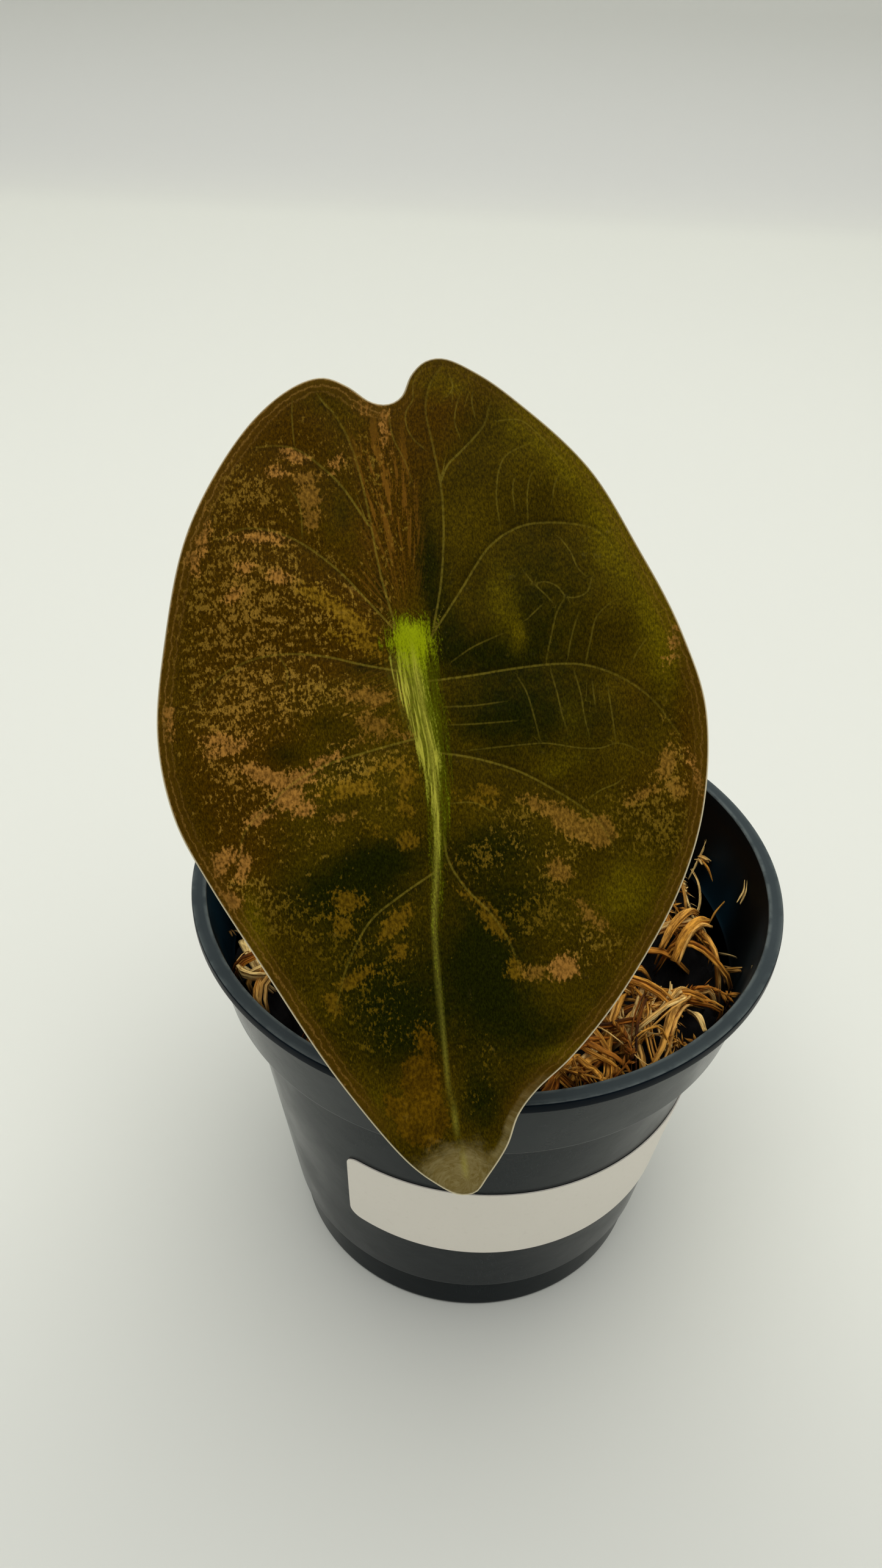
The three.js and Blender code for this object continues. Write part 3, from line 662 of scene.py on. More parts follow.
def make_pot_material():
    shader = Shader("pot_plastic", Specular_IOR_Level=0.065)
    at = shader.object_place()
    haze = shader.noise(at, 90.0, 4.0)
    scuff = shader.noise(shader.stretched(at, (1, 1, 6)), 420.0, 3.0, 0.6)
    scratch = shader.noise(shader.stretched(at, (1, 1, 0.3)), 900.0, 2.0, 0.4, 2.5)
    grain = shader.noise(at, 2600.0, 2.0)
    # Painted shade and reflection: dark low on the body, lighter up the body and on the collar
    low = shader.mix(haze, srgb(0, 9, 14), srgb(0, 14, 20))
    high = shader.mix(haze, srgb(35, 41, 42), srgb(43, 49, 50))
    tone = shader.mix(shader.field("fade"), low, high)
    # Painted reflection: the lip's top is painted lighter
    lip_top_sheen = shader.mix(haze, srgb(50, 58, 60), srgb(64, 72, 74))
    tone = shader.mix(shader.field("lip_top_painted_sheen"), tone, lip_top_sheen)
    marks = shader.between(scuff, 0.62, 0.75, 0, 0.12)
    tone = shader.mix(marks, tone, srgb(74, 80, 80))
    line = 1 - shader.between(abs(scratch - 0.5), 0.0, 0.006)
    line = line * shader.between(haze, 0.5, 0.62, 0, 0.35)
    tone = shader.mix(line, tone, srgb(96, 102, 102))
    # Wear and painted highlight along the lip's edges
    edge_wear_and_highlight = shader.field("lip_edge_wear_and_highlight") * shader.between(scuff, 0.35, 0.6, 0.15, 0.8)
    tone = shader.mix(edge_wear_and_highlight, tone, srgb(96, 104, 102))
    gloss = shader.between(haze, 0.35, 0.7, 0.15, 0.26)
    relief = shader.bump(grain, 0.00001, 0.4)
    relief = shader.bump(haze, 0.0004, 0.3, relief)
    return shader.finish(Base_Color=tone, Roughness=gloss, Normal=relief)


def make_lip_painted_shade_material():
    # The lip's outer face, painted dark navy as shade, with little shine
    shader = Shader("pot_plastic_lip_painted_shade", Roughness=0.3, Specular_IOR_Level=0.03)
    haze = shader.noise(shader.object_place(), 140.0, 3.0)
    return shader.finish(Base_Color=shader.mix(haze, srgb(4, 12, 20), srgb(12, 22, 30)))


def make_pot_inside_shade_material():
    # Painted shade: the inside is painted near black, with painted reflections in blue and grey
    shader = Shader("pot_plastic_inside_painted_shade", Roughness=0.5, Specular_IOR_Level=0.06)
    haze = shader.noise(shader.object_place(), 120.0, 4.0)
    tone = shader.mix(haze, srgb(2, 5, 6), srgb(7, 10, 11))
    uneven = shader.between(haze, 0.3, 0.6, 0.55, 1.0)
    tone = shader.mix(shader.field("inner_blue_reflection") * uneven, tone, srgb(20, 52, 66))
    tone = shader.mix(shader.field("inner_grey_reflection") * uneven, tone, srgb(66, 78, 82))
    return shader.finish(Base_Color=tone)


def drill_drains(pot):
    """Round drain holes through the pot's floor."""
    shape = bmesh.new()
    for hole in range(DRAIN_HOLES):
        angle = hole / DRAIN_HOLES * TURN
        x, y = DRAIN_CIRCLE_RADIUS * math.cos(angle), DRAIN_CIRCLE_RADIUS * math.sin(angle)
        bmesh.ops.create_cone(
            shape, cap_ends=True, segments=36, radius1=DRAIN_RADIUS * MM, radius2=DRAIN_RADIUS * MM,
            depth=FLOOR_THICKNESS * 4 * MM, matrix=Matrix.Translation((x * MM, y * MM, 0)),
        )
    mesh = bpy.data.meshes.new("drain_drills")
    shape.to_mesh(mesh)
    shape.free()
    drills = bpy.data.objects.new("drain_drills", mesh)
    bpy.context.scene.collection.objects.link(drills)
    cut = pot.modifiers.new("drains", "BOOLEAN")
    cut.object = drills
    cut.operation = "DIFFERENCE"
    cut.solver = "EXACT"
    drilled = pot.evaluated_get(bpy.context.evaluated_depsgraph_get())
    result = bpy.data.meshes.new_from_object(drilled)
    pot.modifiers.clear()
    pot.data = result
    bpy.data.objects.remove(drills)


def pot_profile():
    """The pot's outer face from the middle of its underside up to the rim, and its inner face back down."""
    lip_foot = POT_HEIGHT - LIP_HEIGHT
    body_top = COLLAR_FOOT_Z - LEDGE_HEIGHT
    foot_top = BODY_FOOT_Z - FOOT_STEP_HEIGHT
    corners = [
        (0, 0, 0),
        (FOOT_RADIUS, 0, BASE_ROUNDING),
        (FOOT_RADIUS, foot_top, 0.25),
        (BODY_FOOT_RADIUS, BODY_FOOT_Z, 0.35),
        (BODY_TOP_RADIUS, body_top, 0.3),
        (COLLAR_FOOT_RADIUS, COLLAR_FOOT_Z, 0.45),
        (COLLAR_TOP_RADIUS, lip_foot, 0.3),
        (RIM_RADIUS, lip_foot + 0.15, 0.35),
        (RIM_RADIUS, POT_HEIGHT, 0.45),
        (RIM_RADIUS - 0.75, POT_HEIGHT, 0),
        (RIM_RADIUS - LIP_WIDTH + 0.5, POT_HEIGHT, 0),
        (RIM_RADIUS - LIP_WIDTH, POT_HEIGHT, 0.3),
        (COLLAR_TOP_RADIUS - WALL, lip_foot, 0.6),
        (COLLAR_FOOT_RADIUS - WALL, COLLAR_FOOT_Z, 0.6),
        (BODY_TOP_RADIUS - WALL, body_top, 0.4),
        (BODY_FOOT_RADIUS - WALL, BODY_FOOT_Z, 0.4),
        (FOOT_RADIUS - WALL, foot_top, 0.3),
        (FOOT_RADIUS - WALL, FLOOR_THICKNESS, 0.8),
        (0, FLOOR_THICKNESS, 0),
    ]
    return rounded([corner[:2] for corner in corners], [corner[2] for corner in corners])


def pot_finish(face):
    """The material of a face of the pot: 1 on the inside, painted in shade, 2 on the lip's outer edge,
    painted dark as shade, and 0 elsewhere.
    """
    x, y, z = np.array(face.center) / MM
    outwards = face.normal.x * x + face.normal.y * y
    facing_in = outwards < 0 or face.normal.z > 0.7
    in_cavity = FLOOR_THICKNESS * 0.9 < z < POT_HEIGHT - 0.4 and math.hypot(x, y) < RIM_RADIUS - 1.2
    if in_cavity and facing_in:
        return 1
    return 2 if z > POT_HEIGHT - LIP_HEIGHT - 0.1 and outwards > 0 and face.normal.z < 0.6 else 0


def make_pot():
    pot = make_mesh("nursery_pot", *lathe(pot_profile(), POT_SEGMENTS))
    weld(pot, 1e-6, on_axis=True)
    drill_drains(pot)
    pot.data.set_sharp_from_angle(angle=math.radians(40))
    finishes = (make_pot_material(), make_pot_inside_shade_material(), make_lip_painted_shade_material())
    add_piece(pot, "pot_plastic", ["pot"], *finishes)
    pot.data.polygons.foreach_set("material_index", [pot_finish(face) for face in pot.data.polygons])
    places = np.array([vertex.co[:] for vertex in pot.data.vertices]) / MM
    height = places[:, 2]
    reach = np.hypot(places[:, 0], places[:, 1])
    on_lip = smooth_step(height, POT_HEIGHT - 0.5, POT_HEIGHT - 0.1)
    from_edge = np.minimum(RIM_RADIUS - reach, reach - (RIM_RADIUS - LIP_WIDTH))
    # Wear with painted highlight along the lip's two edges
    add_field(pot, "lip_edge_wear_and_highlight", on_lip * (1 - smooth_step(from_edge, 0.1, 0.5)))
    # Painted reflection over the lip's top
    add_field(pot, "lip_top_painted_sheen", on_lip)
    # Painted light and shade: fade rises up the body from the label and is full on the collar
    below_lip = height < POT_HEIGHT - LIP_HEIGHT + 0.1
    on_collar = smooth_step(height, COLLAR_FOOT_Z - 0.4, COLLAR_FOOT_Z) * below_lip
    up_body = smooth_step(height, LABEL_LOW_Z, COLLAR_FOOT_Z) * (height < COLLAR_FOOT_Z)
    add_field(pot, "fade", np.maximum(on_collar, BODY_PAINTED_LIGHT_SHARE * up_body))
    # Painted reflections on the inner wall
    for name, spots in (("inner_blue_reflection", INNER_BLUE_REFLECTION_SPOTS), ("inner_grey_reflection", INNER_GREY_REFLECTION_SPOTS)):
        glow = np.zeros(len(places))
        for place, radius, strength in spots:
            glow += strength * np.exp(-((places - place) ** 2).sum(1) / radius ** 2)
        add_field(pot, name, np.clip(glow, 0, 1))


# Label


def make_label_material():
    shader = Shader("label_paper", Roughness=0.62, Specular_IOR_Level=0.35)
    at = shader.object_place()
    fibre = shader.noise(at, 1500.0, 4.0, 0.6)
    shade = shader.noise(at, 45.0, 3.0)
    tone = shader.mix(shade, srgb(250, 243, 230), srgb(244, 238, 225))
    tone = shader.mix(shader.between(fibre, 0.55, 0.8, 0, 0.3), tone, srgb(226, 219, 204))
    relief = shader.bump(fibre, 0.00003, 0.6)
    return shader.finish(Base_Color=tone, Normal=relief)


def make_label():
    """A strip of paper with rounded corners, stuck round the pot a little askew."""
    middle = (LABEL_START_DEG + LABEL_END_DEG) / 2
    per_degree = TURN / 360 * float(wall_radius(LABEL_LOW_Z + LABEL_HEIGHT / 2))
    corner = LABEL_CORNER / per_degree
    inner = np.linspace(LABEL_START_DEG + corner, LABEL_END_DEG - corner, LABEL_COLUMNS)
    bend = corner * (1 - np.cos(np.linspace(0, math.pi / 2, 9)[:-1]))
    degrees = np.concatenate([LABEL_START_DEG + bend, inner, (LABEL_END_DEG - bend)[::-1]])
    from_end = np.minimum(degrees - LABEL_START_DEG, LABEL_END_DEG - degrees)
    share = np.clip(1 - from_end / corner, 0, 1)
    drop = LABEL_CORNER * (1 - np.sqrt(1 - share ** 2))
    rows = np.linspace(0, 1, LABEL_ROWS)
    low = LABEL_LOW_Z - (degrees - middle) * LABEL_DROP_PER_DEG + drop
    high = low + LABEL_HEIGHT - 2 * drop
    height = low[:, None] + (high - low)[:, None] * rows
    up_strip = (height - low[:, None] + drop[:, None]) / LABEL_HEIGHT
    angle = np.radians(degrees[:, None] - LABEL_LEAN_DEG * (1 - up_strip))
    faces = []
    for depth in (LABEL_GAP, LABEL_GAP + LABEL_THICKNESS):
        radius = wall_radius(height) + depth
        face = np.stack([radius * np.sin(angle), -radius * np.cos(angle), height], -1)
        faces.append(face.reshape(-1, 3))
    columns = len(degrees)
    size = columns * LABEL_ROWS
    back = grid(columns, LABEL_ROWS, closed_columns=False)[:, [0, 3, 2, 1]]
    front = back[:, ::-1] + size
    bottom = np.arange(columns) * LABEL_ROWS
    top = bottom + LABEL_ROWS - 1
    left = np.arange(LABEL_ROWS)
    right = left + (columns - 1) * LABEL_ROWS
    border = np.concatenate([bottom, right[1:], top[::-1][1:], left[::-1][1:-1]])
    after = np.roll(border, -1)
    edge = np.stack([border, after, after + size, border + size], -1)
    quads = np.concatenate([back, front, edge])
    label = make_mesh("paper_label", np.concatenate(faces), quads, sharp_angle=50)
    add_piece(label, "label_paper", ["label"], make_label_material())


# Leaf

LEAF_FRAME = np.array(
    Matrix.Translation(LEAF_PLACE)
    @ Matrix.Rotation(LEAF_YAW, 4, "Z")
    @ Matrix.Rotation(LEAF_TILT, 4, "X")
    @ Matrix.Rotation(LEAF_SPIN, 4, "Z")
)

# Ovals of solid colour on the upper face: x, y, half width, half length, turn in degrees
GOLD_OVALS = [
    (-6, 1.8, 0.9, 3.1, 42), (-4.3, -1.3, 0.55, 1.6, 52), (-8.6, 3.8, 0.6, 1.8, 50),
    (-6.6, -0.4, 0.35, 1.6, 60), (-7.3, -15.1, 2.9, 0.8, 4), (-1.9, -14.8, 1, 1.1, -45),
    (-2.2, -17.5, 0.8, 0.8, 0), (-2.1, -20.8, 1, 0.8, -20), (-3.4, -13.2, 1.4, 0.5, 10),
    (-5.5, -19.4, 0.9, 0.4, -15), (-9, -26, 1.5, 1, -20), (-4.4, -28.6, 2.4, 0.8, 38),
    (-9.6, -28.4, 1.4, 0.7, -40), (-4.2, -31.4, 1, 0.7, 40), (-9, -33.8, 2.4, 0.7, 25),
    (-11.6, -36, 0.8, 1.3, 20), (6, -16.6, 1, 0.5, -20), (5.3, -29.8, 0.7, 2.2, 40),
    (6.9, -34.6, 0.9, 1.1, 30), (3.6, -27.2, 0.4, 1.6, 50), (4.6, -17.4, 1.6, 0.4, -12),
]
TAN_OVALS = [
    (-8.5, 13.8, 1.25, 1.3, 0), (-8.6, 11.8, 0.75, 1.1, 0), (-8.6, 15.9, 1, 0.6, 0),
    (-4.7, -6.3, 2.6, 0.75, -8), (-4.2, -9.1, 1.9, 0.85, -15), (-3.6, -10.35, 1.9, 0.35, 0),
    (13.4, -20.3, 2.7, 1.2, -42), (16.6, -21.8, 1.6, 1.5, -30), (8.6, -35.0, 1.1, 0.7, -12),
    (12.2, -25.2, 1.4, 0.9, -50), (23.9, -15.8, 0.7, 1.6, -25), (25, -18.5, 0.8, 0.7, 0),
    (-8.6, -17.8, 1, 0.5, 10), (14.6, -29.6, 1.7, 0.6, -50), (21.6, -18.4, 1.6, 0.5, 20),
    (10.6, -18.4, 1.6, 0.6, -35),
]
PINK_OVALS = [
    (-9.7, 18.3, 1, 0.45, -25), (-11.6, 16.7, 0.8, 0.5, -20), (-5.5, 17.1, 0.45, 0.8, -20),
    (-14, 10.5, 1.7, 0.4, -10), (-19.5, 11.2, 0.5, 1.5, -10), (-20.7, 8.8, 0.5, 1, 20),
    (-15.6, 7.6, 0.8, 0.6, 0), (-12.3, 6.3, 1, 0.6, -20), (-0.5, 20.5, 0.3, 1.6, 0),
    (-2.3, 22.3, 0.6, 0.4, -35), (-19.8, -9, 1.5, 0.5, -10), (-17, 5, 0.9, 0.6, 30),
    (-18.9, -9.9, 2, 0.6, 10), (-15, -13.2, 3.2, 0.9, -22), (-12.6, -13.5, 2.3, 0.8, 12),
    (-13.6, -15.3, 1.5, 1.1, 10), (-12.2, -16.5, 1.3, 0.6, 20), (-20.7, -20.7, 1.5, 0.7, 10),
    (-21.4, -21.6, 0.7, 0.9, 30), (-18.9, -21.3, 0.8, 1.5, -15), (-20.5, -24.9, 1.2, 0.6, -35),
    (-24.9, -6.4, 0.4, 1.2, 0), (11.6, -34.9, 1.2, 1.2, 0), (25.9, -4, 0.4, 1.3, -15),
    (27, -17.5, 0.4, 1.5, 10), (-16.6, -16.9, 1.2, 0.5, 20), (-10, -12.2, 1.4, 0.4, 15),
]
# Soft spots of base colour and of speckle: x, y, half width, half length, strength
BROWN_SPOTS = [
    (-15, 6, 11, 13, 1), (-12, 20, 8, 5, 0.9), (6, 23, 5, 4, 0.7), (-1, 13, 3, 8, 0.6),
    (3.5, 18, 3.5, 5, 0.6), (14, 1.5, 3.6, 5, 0.15), (-19, -12, 7, 10, 0.9), (21.3, -8.5, 2.6, 3, 0.4),
    (-20, -24, 4, 6, 0.6), (-3, -44, 4, 5, 0.6), (0, 12, 3, 8, 0.7), (-7, 0, 5, 6, 0.6),
    (-14, -30, 4, 6, 0.3), (26.5, -12, 1.6, 10, 0.6), (23, -18, 5, 5, 0.5), (17, -34, 4, 4, 0.4),
]
GREEN_SPOTS = [
    (2.4, 5, 1.6, 5, 0.5), (3.8, -1, 2.2, 4, 0.45), (-2.4, 4, 1.2, 3, 0.5), (6.4, -9.6, 6, 4, 0.55),
    (7, -3.4, 5, 2, 0.4), (14, -10.5, 8, 5, 0.5), (13, 4, 9, 8, 0.42), (2, -47.5, 2.6, 4, 0.8),
    (4, -34, 4.5, 8, 1), (9, -41, 5, 4, 0.6), (-5.2, -22, 4, 2.2, 0.6), (12, -2, 6, 6, 0.35),
    (2.6, 12, 1.4, 9, 0.35), (-13.5, -11, 2.6, 1.4, 0.6), (-9.4, -8.4, 1.8, 1, 0.45),
    (-7, -34, 7, 7, 0.7), (-5, -3.3, 2.5, 1, 0.6), (-10, -25, 8, 4, 0.8), (-5.4, 12, 1.2, 2, 0.5),
    (6, -22, 6, 3, 0.7), (9, -27, 4, 3, 0.4), (-5, -40, 5, 5, 0.6), (13, -30, 5, 4, 0.3),
]
# Paler olive spots, partly painted glow where light shines through the blade
PALE_AND_GLOW_SPOTS = [
    (21, 9, 3, 8, 0.9), (17.6, 15.4, 2.4, 3, 0.8), (25, -1, 2.4, 8, 1), (14, 19, 4, 4, 0.6),
    (9.2, 1.6, 2, 4.2, 0.6), (10.6, -2, 1, 2, 0.5), (-18.5, -28, 1.6, 5, 0.8),
    (12.5, -43.3, 5, 1.2, 0.8), (17.3, -28.3, 2.6, 3, 0.4), (15, -10, 2, 3.5, 0.35),
    (13, -15, 3, 1.8, 0.5), (6, 24, 4, 2.4, 0.5), (20, -28, 3, 5, 0.4), (-8, -46, 1.5, 3, 0.4),
]
SPECKLE_SPOTS = [
    (-15, -3, 10, 7, 0.08), (-20, -13, 4, 7, 0.2), (-22, 1, 3, 10, 0.1), (-5, -5, 4, 5, 0.2),
    (-3, -15, 3, 5, 0.4), (-17, -36, 3, 5, 0.4), (-16, 15, 3, 3, 0.5), (24.5, -24, 2.5, 4, 0.4),
    (-15, 5, 11, 12, 0.58), (-16, 6, 6, 5, 0.25), (-6, 2, 4, 4, 0.3), (-19, -7, 6, 7, 0.4),
    (-15, -14, 7, 3.5, 0.4), (-7, -13.5, 6, 2.6, 0.5), (-9, -6, 6, 2.4, 0.45), (-9, -19, 6, 2.2, 0.4),
    (-18, -24, 5, 6, 0.55), (-9, 18, 8, 6, 0.3), (-11, -28, 7, 6, 0.6), (-8, -38, 5, 7, 0.62),
    (-4, -30, 3, 5, 0.3), (-1, 9, 2.6, 8, 0.4), (-2, -47, 4, 4, 0.4), (9, -18.5, 5, 2.6, 0.65),
    (15, -22, 4, 3.5, 0.5), (21, -19.5, 4.5, 3.5, 0.65), (25, -15, 2.4, 5, 0.5), (22, -25, 3, 4, 0.5),
    (11.5, -27, 3.4, 3.4, 0.62), (15.5, -33, 4, 3, 0.55), (8, -30, 4.4, 3, 0.62),
    (3.4, -24, 3, 2.6, 0.5), (19, -33, 2.5, 3, 0.4), (3, -44, 3.5, 5, 0.4), (6, -22, 4, 2.6, 0.5),
    (6, -39, 3.4, 3.4, 0.25), (26, -5, 2, 8, 0.3), (-3, 18, 3, 5, 0.3), (14, -14.5, 5, 1.4, 0.15),
    (19, -37, 4, 2, 0.3), (1.5, -35, 1.6, 7, 0.25), (7, 21, 4, 4, 0.12), (16, 14, 5, 5, 0.1),
]
CLEAR_SPOTS = [
    (-5.2, -22, 3.2, 1.8, 0.35), (-13.5, -11, 2.6, 1.1, 0.5), (-9.4, -8.4, 1.6, 0.8, 0.5),
    (17.6, -28.6, 2.4, 3, 0.95), (4.2, -35, 3, 4.6, 0.4), (9.4, -40.4, 3.4, 2.2, 0.3),
    (-5.5, -3.3, 2.6, 0.7, 0.5), (-5.2, 12, 1.4, 2.4, 0.5), (5.2, -20.6, 1.8, 1, 0.35),
    (-16, -21.6, 2, 1.6, 0.35), (-13, -24, 3, 1.2, 0.3),
]
PINK_TINT_SPOTS = [
    (-17, 5, 9, 14, 0.7), (-18, -14, 7, 8, 0.8), (-11, 18, 8, 6, 0.5), (24, -15, 4, 5, 0.5),
    (11, -35, 3, 3, 0.7),
]

BROWN_OVALS = [
    (-3.6, -44.6, 2, 2.8, 10), (-3.8, -48.4, 2.8, 2.8, 0), (-2.6, -41.2, 0.8, 1.6, 12),
    (-6.6, -46.8, 0.9, 1.5, 20),
]
STREAK_SPOTS = [
    (-0.6, 13, 1.6, 8, 1), (-2.6, 15, 1.2, 6, 0.8), (1.4, 12, 0.8, 6, 0.6), (-3.6, 4, 2, 2.6, 0.5),
    (-4, -7, 3, 4, 0.35),
]
BRIGHT_SPOTS = [
    (-15, 4, 10, 13, 0.62), (-6, 1, 5, 6, 0.5), (-16, -12, 9, 9, 0.8), (-6, -12, 6, 4, 0.5),
    (-20, -22, 4, 5, 0.5), (-9, 18, 8, 6, 0.3), (12, -22, 8, 4, 0.4), (24, -16, 4, 6, 0.4),
    (12, -34, 4, 4, 0.4), (0, 10, 3, 9, 0.3), (17, -33, 4, 4, 0.2),
]

SOFT_SPOTS = {
    "brown": BROWN_SPOTS,
    "green": GREEN_SPOTS,
    "light": PALE_AND_GLOW_SPOTS,
    "streaky": STREAK_SPOTS,
    "bright": BRIGHT_SPOTS,
    "pink_tint": PINK_TINT_SPOTS,
}
OVALS = {"gold": GOLD_OVALS, "tan": TAN_OVALS, "pink": PINK_OVALS, "brown_patch": BROWN_OVALS}
# Distances down the leaf from its attachment, each with a width or strength there
HALO_STEPS = [0, 5, 10, 15, 20, 25, 35, 45, 55]
DOWN_LEAF = {
    "halo_left": (HALO_STEPS, [1.9, 2.1, 1.75, 1.1, 0.7, 0.45, 0.25, 0.2, 0.2]),
    "halo_right": (HALO_STEPS, [1.7, 1.25, 0.95, 0.8, 0.65, 0.4, 0.25, 0.2, 0.2]),
    "lime": ([0, 12, 20, 26, 40], [0.85, 0.65, 0.42, 0.2, 0]),
    "glow_width": ([0, 10, 20, 30, 45], [2.3, 1.9, 1.2, 0.7, 0.4]),
    "glow_lean": ([0, 20], [0.5, 0.2]),
    "glow": ([0, 20, 32, 45], [0.9, 0.75, 0.3, 0.1]),
    "pale_lean": ([2, 8, 14, 20, 60], [-1.1, -0.9, -0.2, 0, 0]),
    "pale_width": ([0, 4, 10, 16, 24, 34, 45, 55], [1.3, 1.55, 1.25, 0.7, 0.45, 0.28, 0.14, 0.12]),
    "pale": ([0, 12, 18, 24, 30], [0.95, 0.8, 0.5, 0.28, 0]),
    "core_width": ([0, 20, 30, 45, 55], [0.26, 0.26, 0.22, 0.17, 0.13]),
    "core": ([1, 4, 22, 30, 42, 50, 55], [0, 0.45, 0.45, 0.3, 0.28, 0.32, 0.3]),
    "rim_painted_glow": ([-8, 4, 14], [0.3, 0.75, 1]),
    "rim_brown": ([-26, -10, 0, 10], [0.2, 0.25, 0.4, 0.55]),
    "rim_lines": ([-26, -4, 4], [0.12, 0.25, 0.42]),
    "fan_shift": ([-1, 8, 40], [0, 8, 15]),
    "fan_spread": ([-2, 8], [7, 12]),
}

OLIVE = srgb(69, 55, 1)
OLIVE_DARK = srgb(56, 44, 0)
LEAF_BROWN = srgb(66, 44, 0)
LEAF_GREEN = srgb(21, 25, 0)
LEAF_PALE_AND_GLOW = srgb(90, 77, 2)
SPECK_DIM = srgb(90, 72, 8)
SPECK_TAN = srgb(154, 122, 44)
SPECK_PINK = srgb(154, 112, 42)
PATCH_GOLD = srgb(132, 100, 18)
GOLD_DIM = srgb(104, 78, 10)
PATCH_TAN = srgb(136, 98, 34)
PATCH_PINK = srgb(160, 112, 48)
PATCH_BROWN = srgb(92, 66, 4)
STREAK_BROWN = srgb(132, 88, 24)
VEIN_PALE = srgb(138, 122, 40)
MIDRIB_LIME = srgb(142, 154, 6)
MIDRIB_GREEN = srgb(92, 100, 6)
MIDRIB_PALE = srgb(178, 172, 62)
MIDRIB_GLOW = srgb(72, 76, 0)
RIM_PAINTED_GLOW = srgb(224, 212, 176)
TIP_PAINTED_SHEEN = srgb(124, 110, 66)
VEIN_SHADOW = srgb(24, 18, 1)
RIM_BROWN = srgb(82, 56, 8)
RIM_TAN = srgb(138, 102, 44)
# What a texture's low and high places multiply a colour by
SPECK_TINTS = (0.6, 0.57, 0.5, 1), (1.3, 1.3, 1.3, 1)
FLECK_TINTS = (0.58, 0.56, 0.5, 1), (1.22, 1.22, 1.22, 1)
BLOTCH_TINTS = (0.6, 0.58, 0.5, 1), (1.24, 1.22, 1.16, 1)
TIP_SHEEN_TINTS = (0.78, 0.72, 0.56, 1), (1.2, 1.23, 1.4, 1)
FIBRE_TINTS = (0.36, 0.3, 0.22, 1), (1.2, 1.2, 1.15, 1)
HOLLOW_SHADE_TINTS = (0.03, 0.02, 0.01, 1), (1.35, 1.35, 1.35, 1)


def to_model(points):
    """From the leaf's own frame to the model's, both in millimetres."""
    return np.asarray(points) @ LEAF_FRAME[:3, :3].T + LEAF_FRAME[:3, 3]


def blade_height(x, y):
    """Height of the blade's middle surface over the leaf's own plane."""
    end = np.where(y < 0, TIP_DROOP, LOBE_DROOP)
    return -SIDE_DROOP * x * x - end * y * y - CHANNEL_DEPTH * np.exp(-((x / CHANNEL_WIDTH) ** 2))


def nearest_line(at, lines):
    """Each place's signed distance to the nearest of several curves, and the share along that curve."""
    best = np.full(len(at), 1e9)
    signed, share = np.zeros(len(at)), np.zeros(len(at))
    for line in lines:
        path = centripetal(line, samples=7)
        steps = np.diff(path, axis=0)
        lengths = np.linalg.norm(steps, axis=1)
        travelled = np.concatenate([[0], np.cumsum(lengths)])
        reach = at[:, None, :] - path[None, :-1, :]
        along = np.clip((reach * steps).sum(-1) / lengths ** 2, 0, 1)
        gap = np.linalg.norm(reach - along[..., None] * steps, axis=-1)
        nearest = gap.argmin(1)
        row = np.arange(len(at))
        distance = gap[row, nearest]
        step, offset = steps[nearest], reach[row, nearest]
        side = np.sign(step[:, 0] * offset[:, 1] - step[:, 1] * offset[:, 0])
        closer = distance < best
        here = (travelled[nearest] + along[row, nearest] * lengths[nearest]) / travelled[-1]
        best = np.where(closer, distance, best)
        signed = np.where(closer, distance * side, signed)
        share = np.where(closer, here, share)
    return signed, share


def soft_spots(at, spots):
    """The sum of several soft oval spots at each place."""
    total = np.zeros(len(at))
    for x, y, wide, long, strength in spots:
        total += strength * np.exp(-(((at[:, 0] - x) / wide) ** 2) - ((at[:, 1] - y) / long) ** 2)
    return total


def oval_depth(at, ovals):
    """How many millimetres deep each place lies in the nearest of several ovals; below 0 outside them."""
    depth = np.full(len(at), -5.0)
    for x, y, wide, long, degrees in ovals:
        turn = math.radians(degrees)
        across = (at[:, 0] - x) * math.cos(turn) + (at[:, 1] - y) * math.sin(turn)
        along = (at[:, 1] - y) * math.cos(turn) - (at[:, 0] - x) * math.sin(turn)
        depth = np.maximum(depth, (1 - np.hypot(across / wide, along / long)) * min(wide, long))
    return depth


def with_veins(shader, tone, grain):
    """The tone with pale lateral and minor veins, and a thin shadow beside each lateral."""
    for name, width, strength in (("minor", 0.12, 0.28), ("vein", 0.16, 0.46)):
        across = abs(shader.field(name + "_line"))
        on_line = 1 - shader.between(across, width * 0.3, width)
        near = 1 - shader.between(shader.field(name), 0.5, 0.7)
        broken = shader.between(grain, 0.25, 0.6, 0.35, 1.0)
        fade = shader.field(name + "_fade") * broken
        shown = on_line * near * (fade * strength)
        tone = shader.mix(shown, tone, VEIN_PALE)
    shadow = 1 - shader.between(abs(shader.field("vein_line") - 0.3), 0.06, 0.26)
    near = 1 - shader.between(shader.field("vein"), 0.5, 0.7)
    tone = shader.mix(shadow * near * 0.25, tone, VEIN_SHADOW)
    return tone


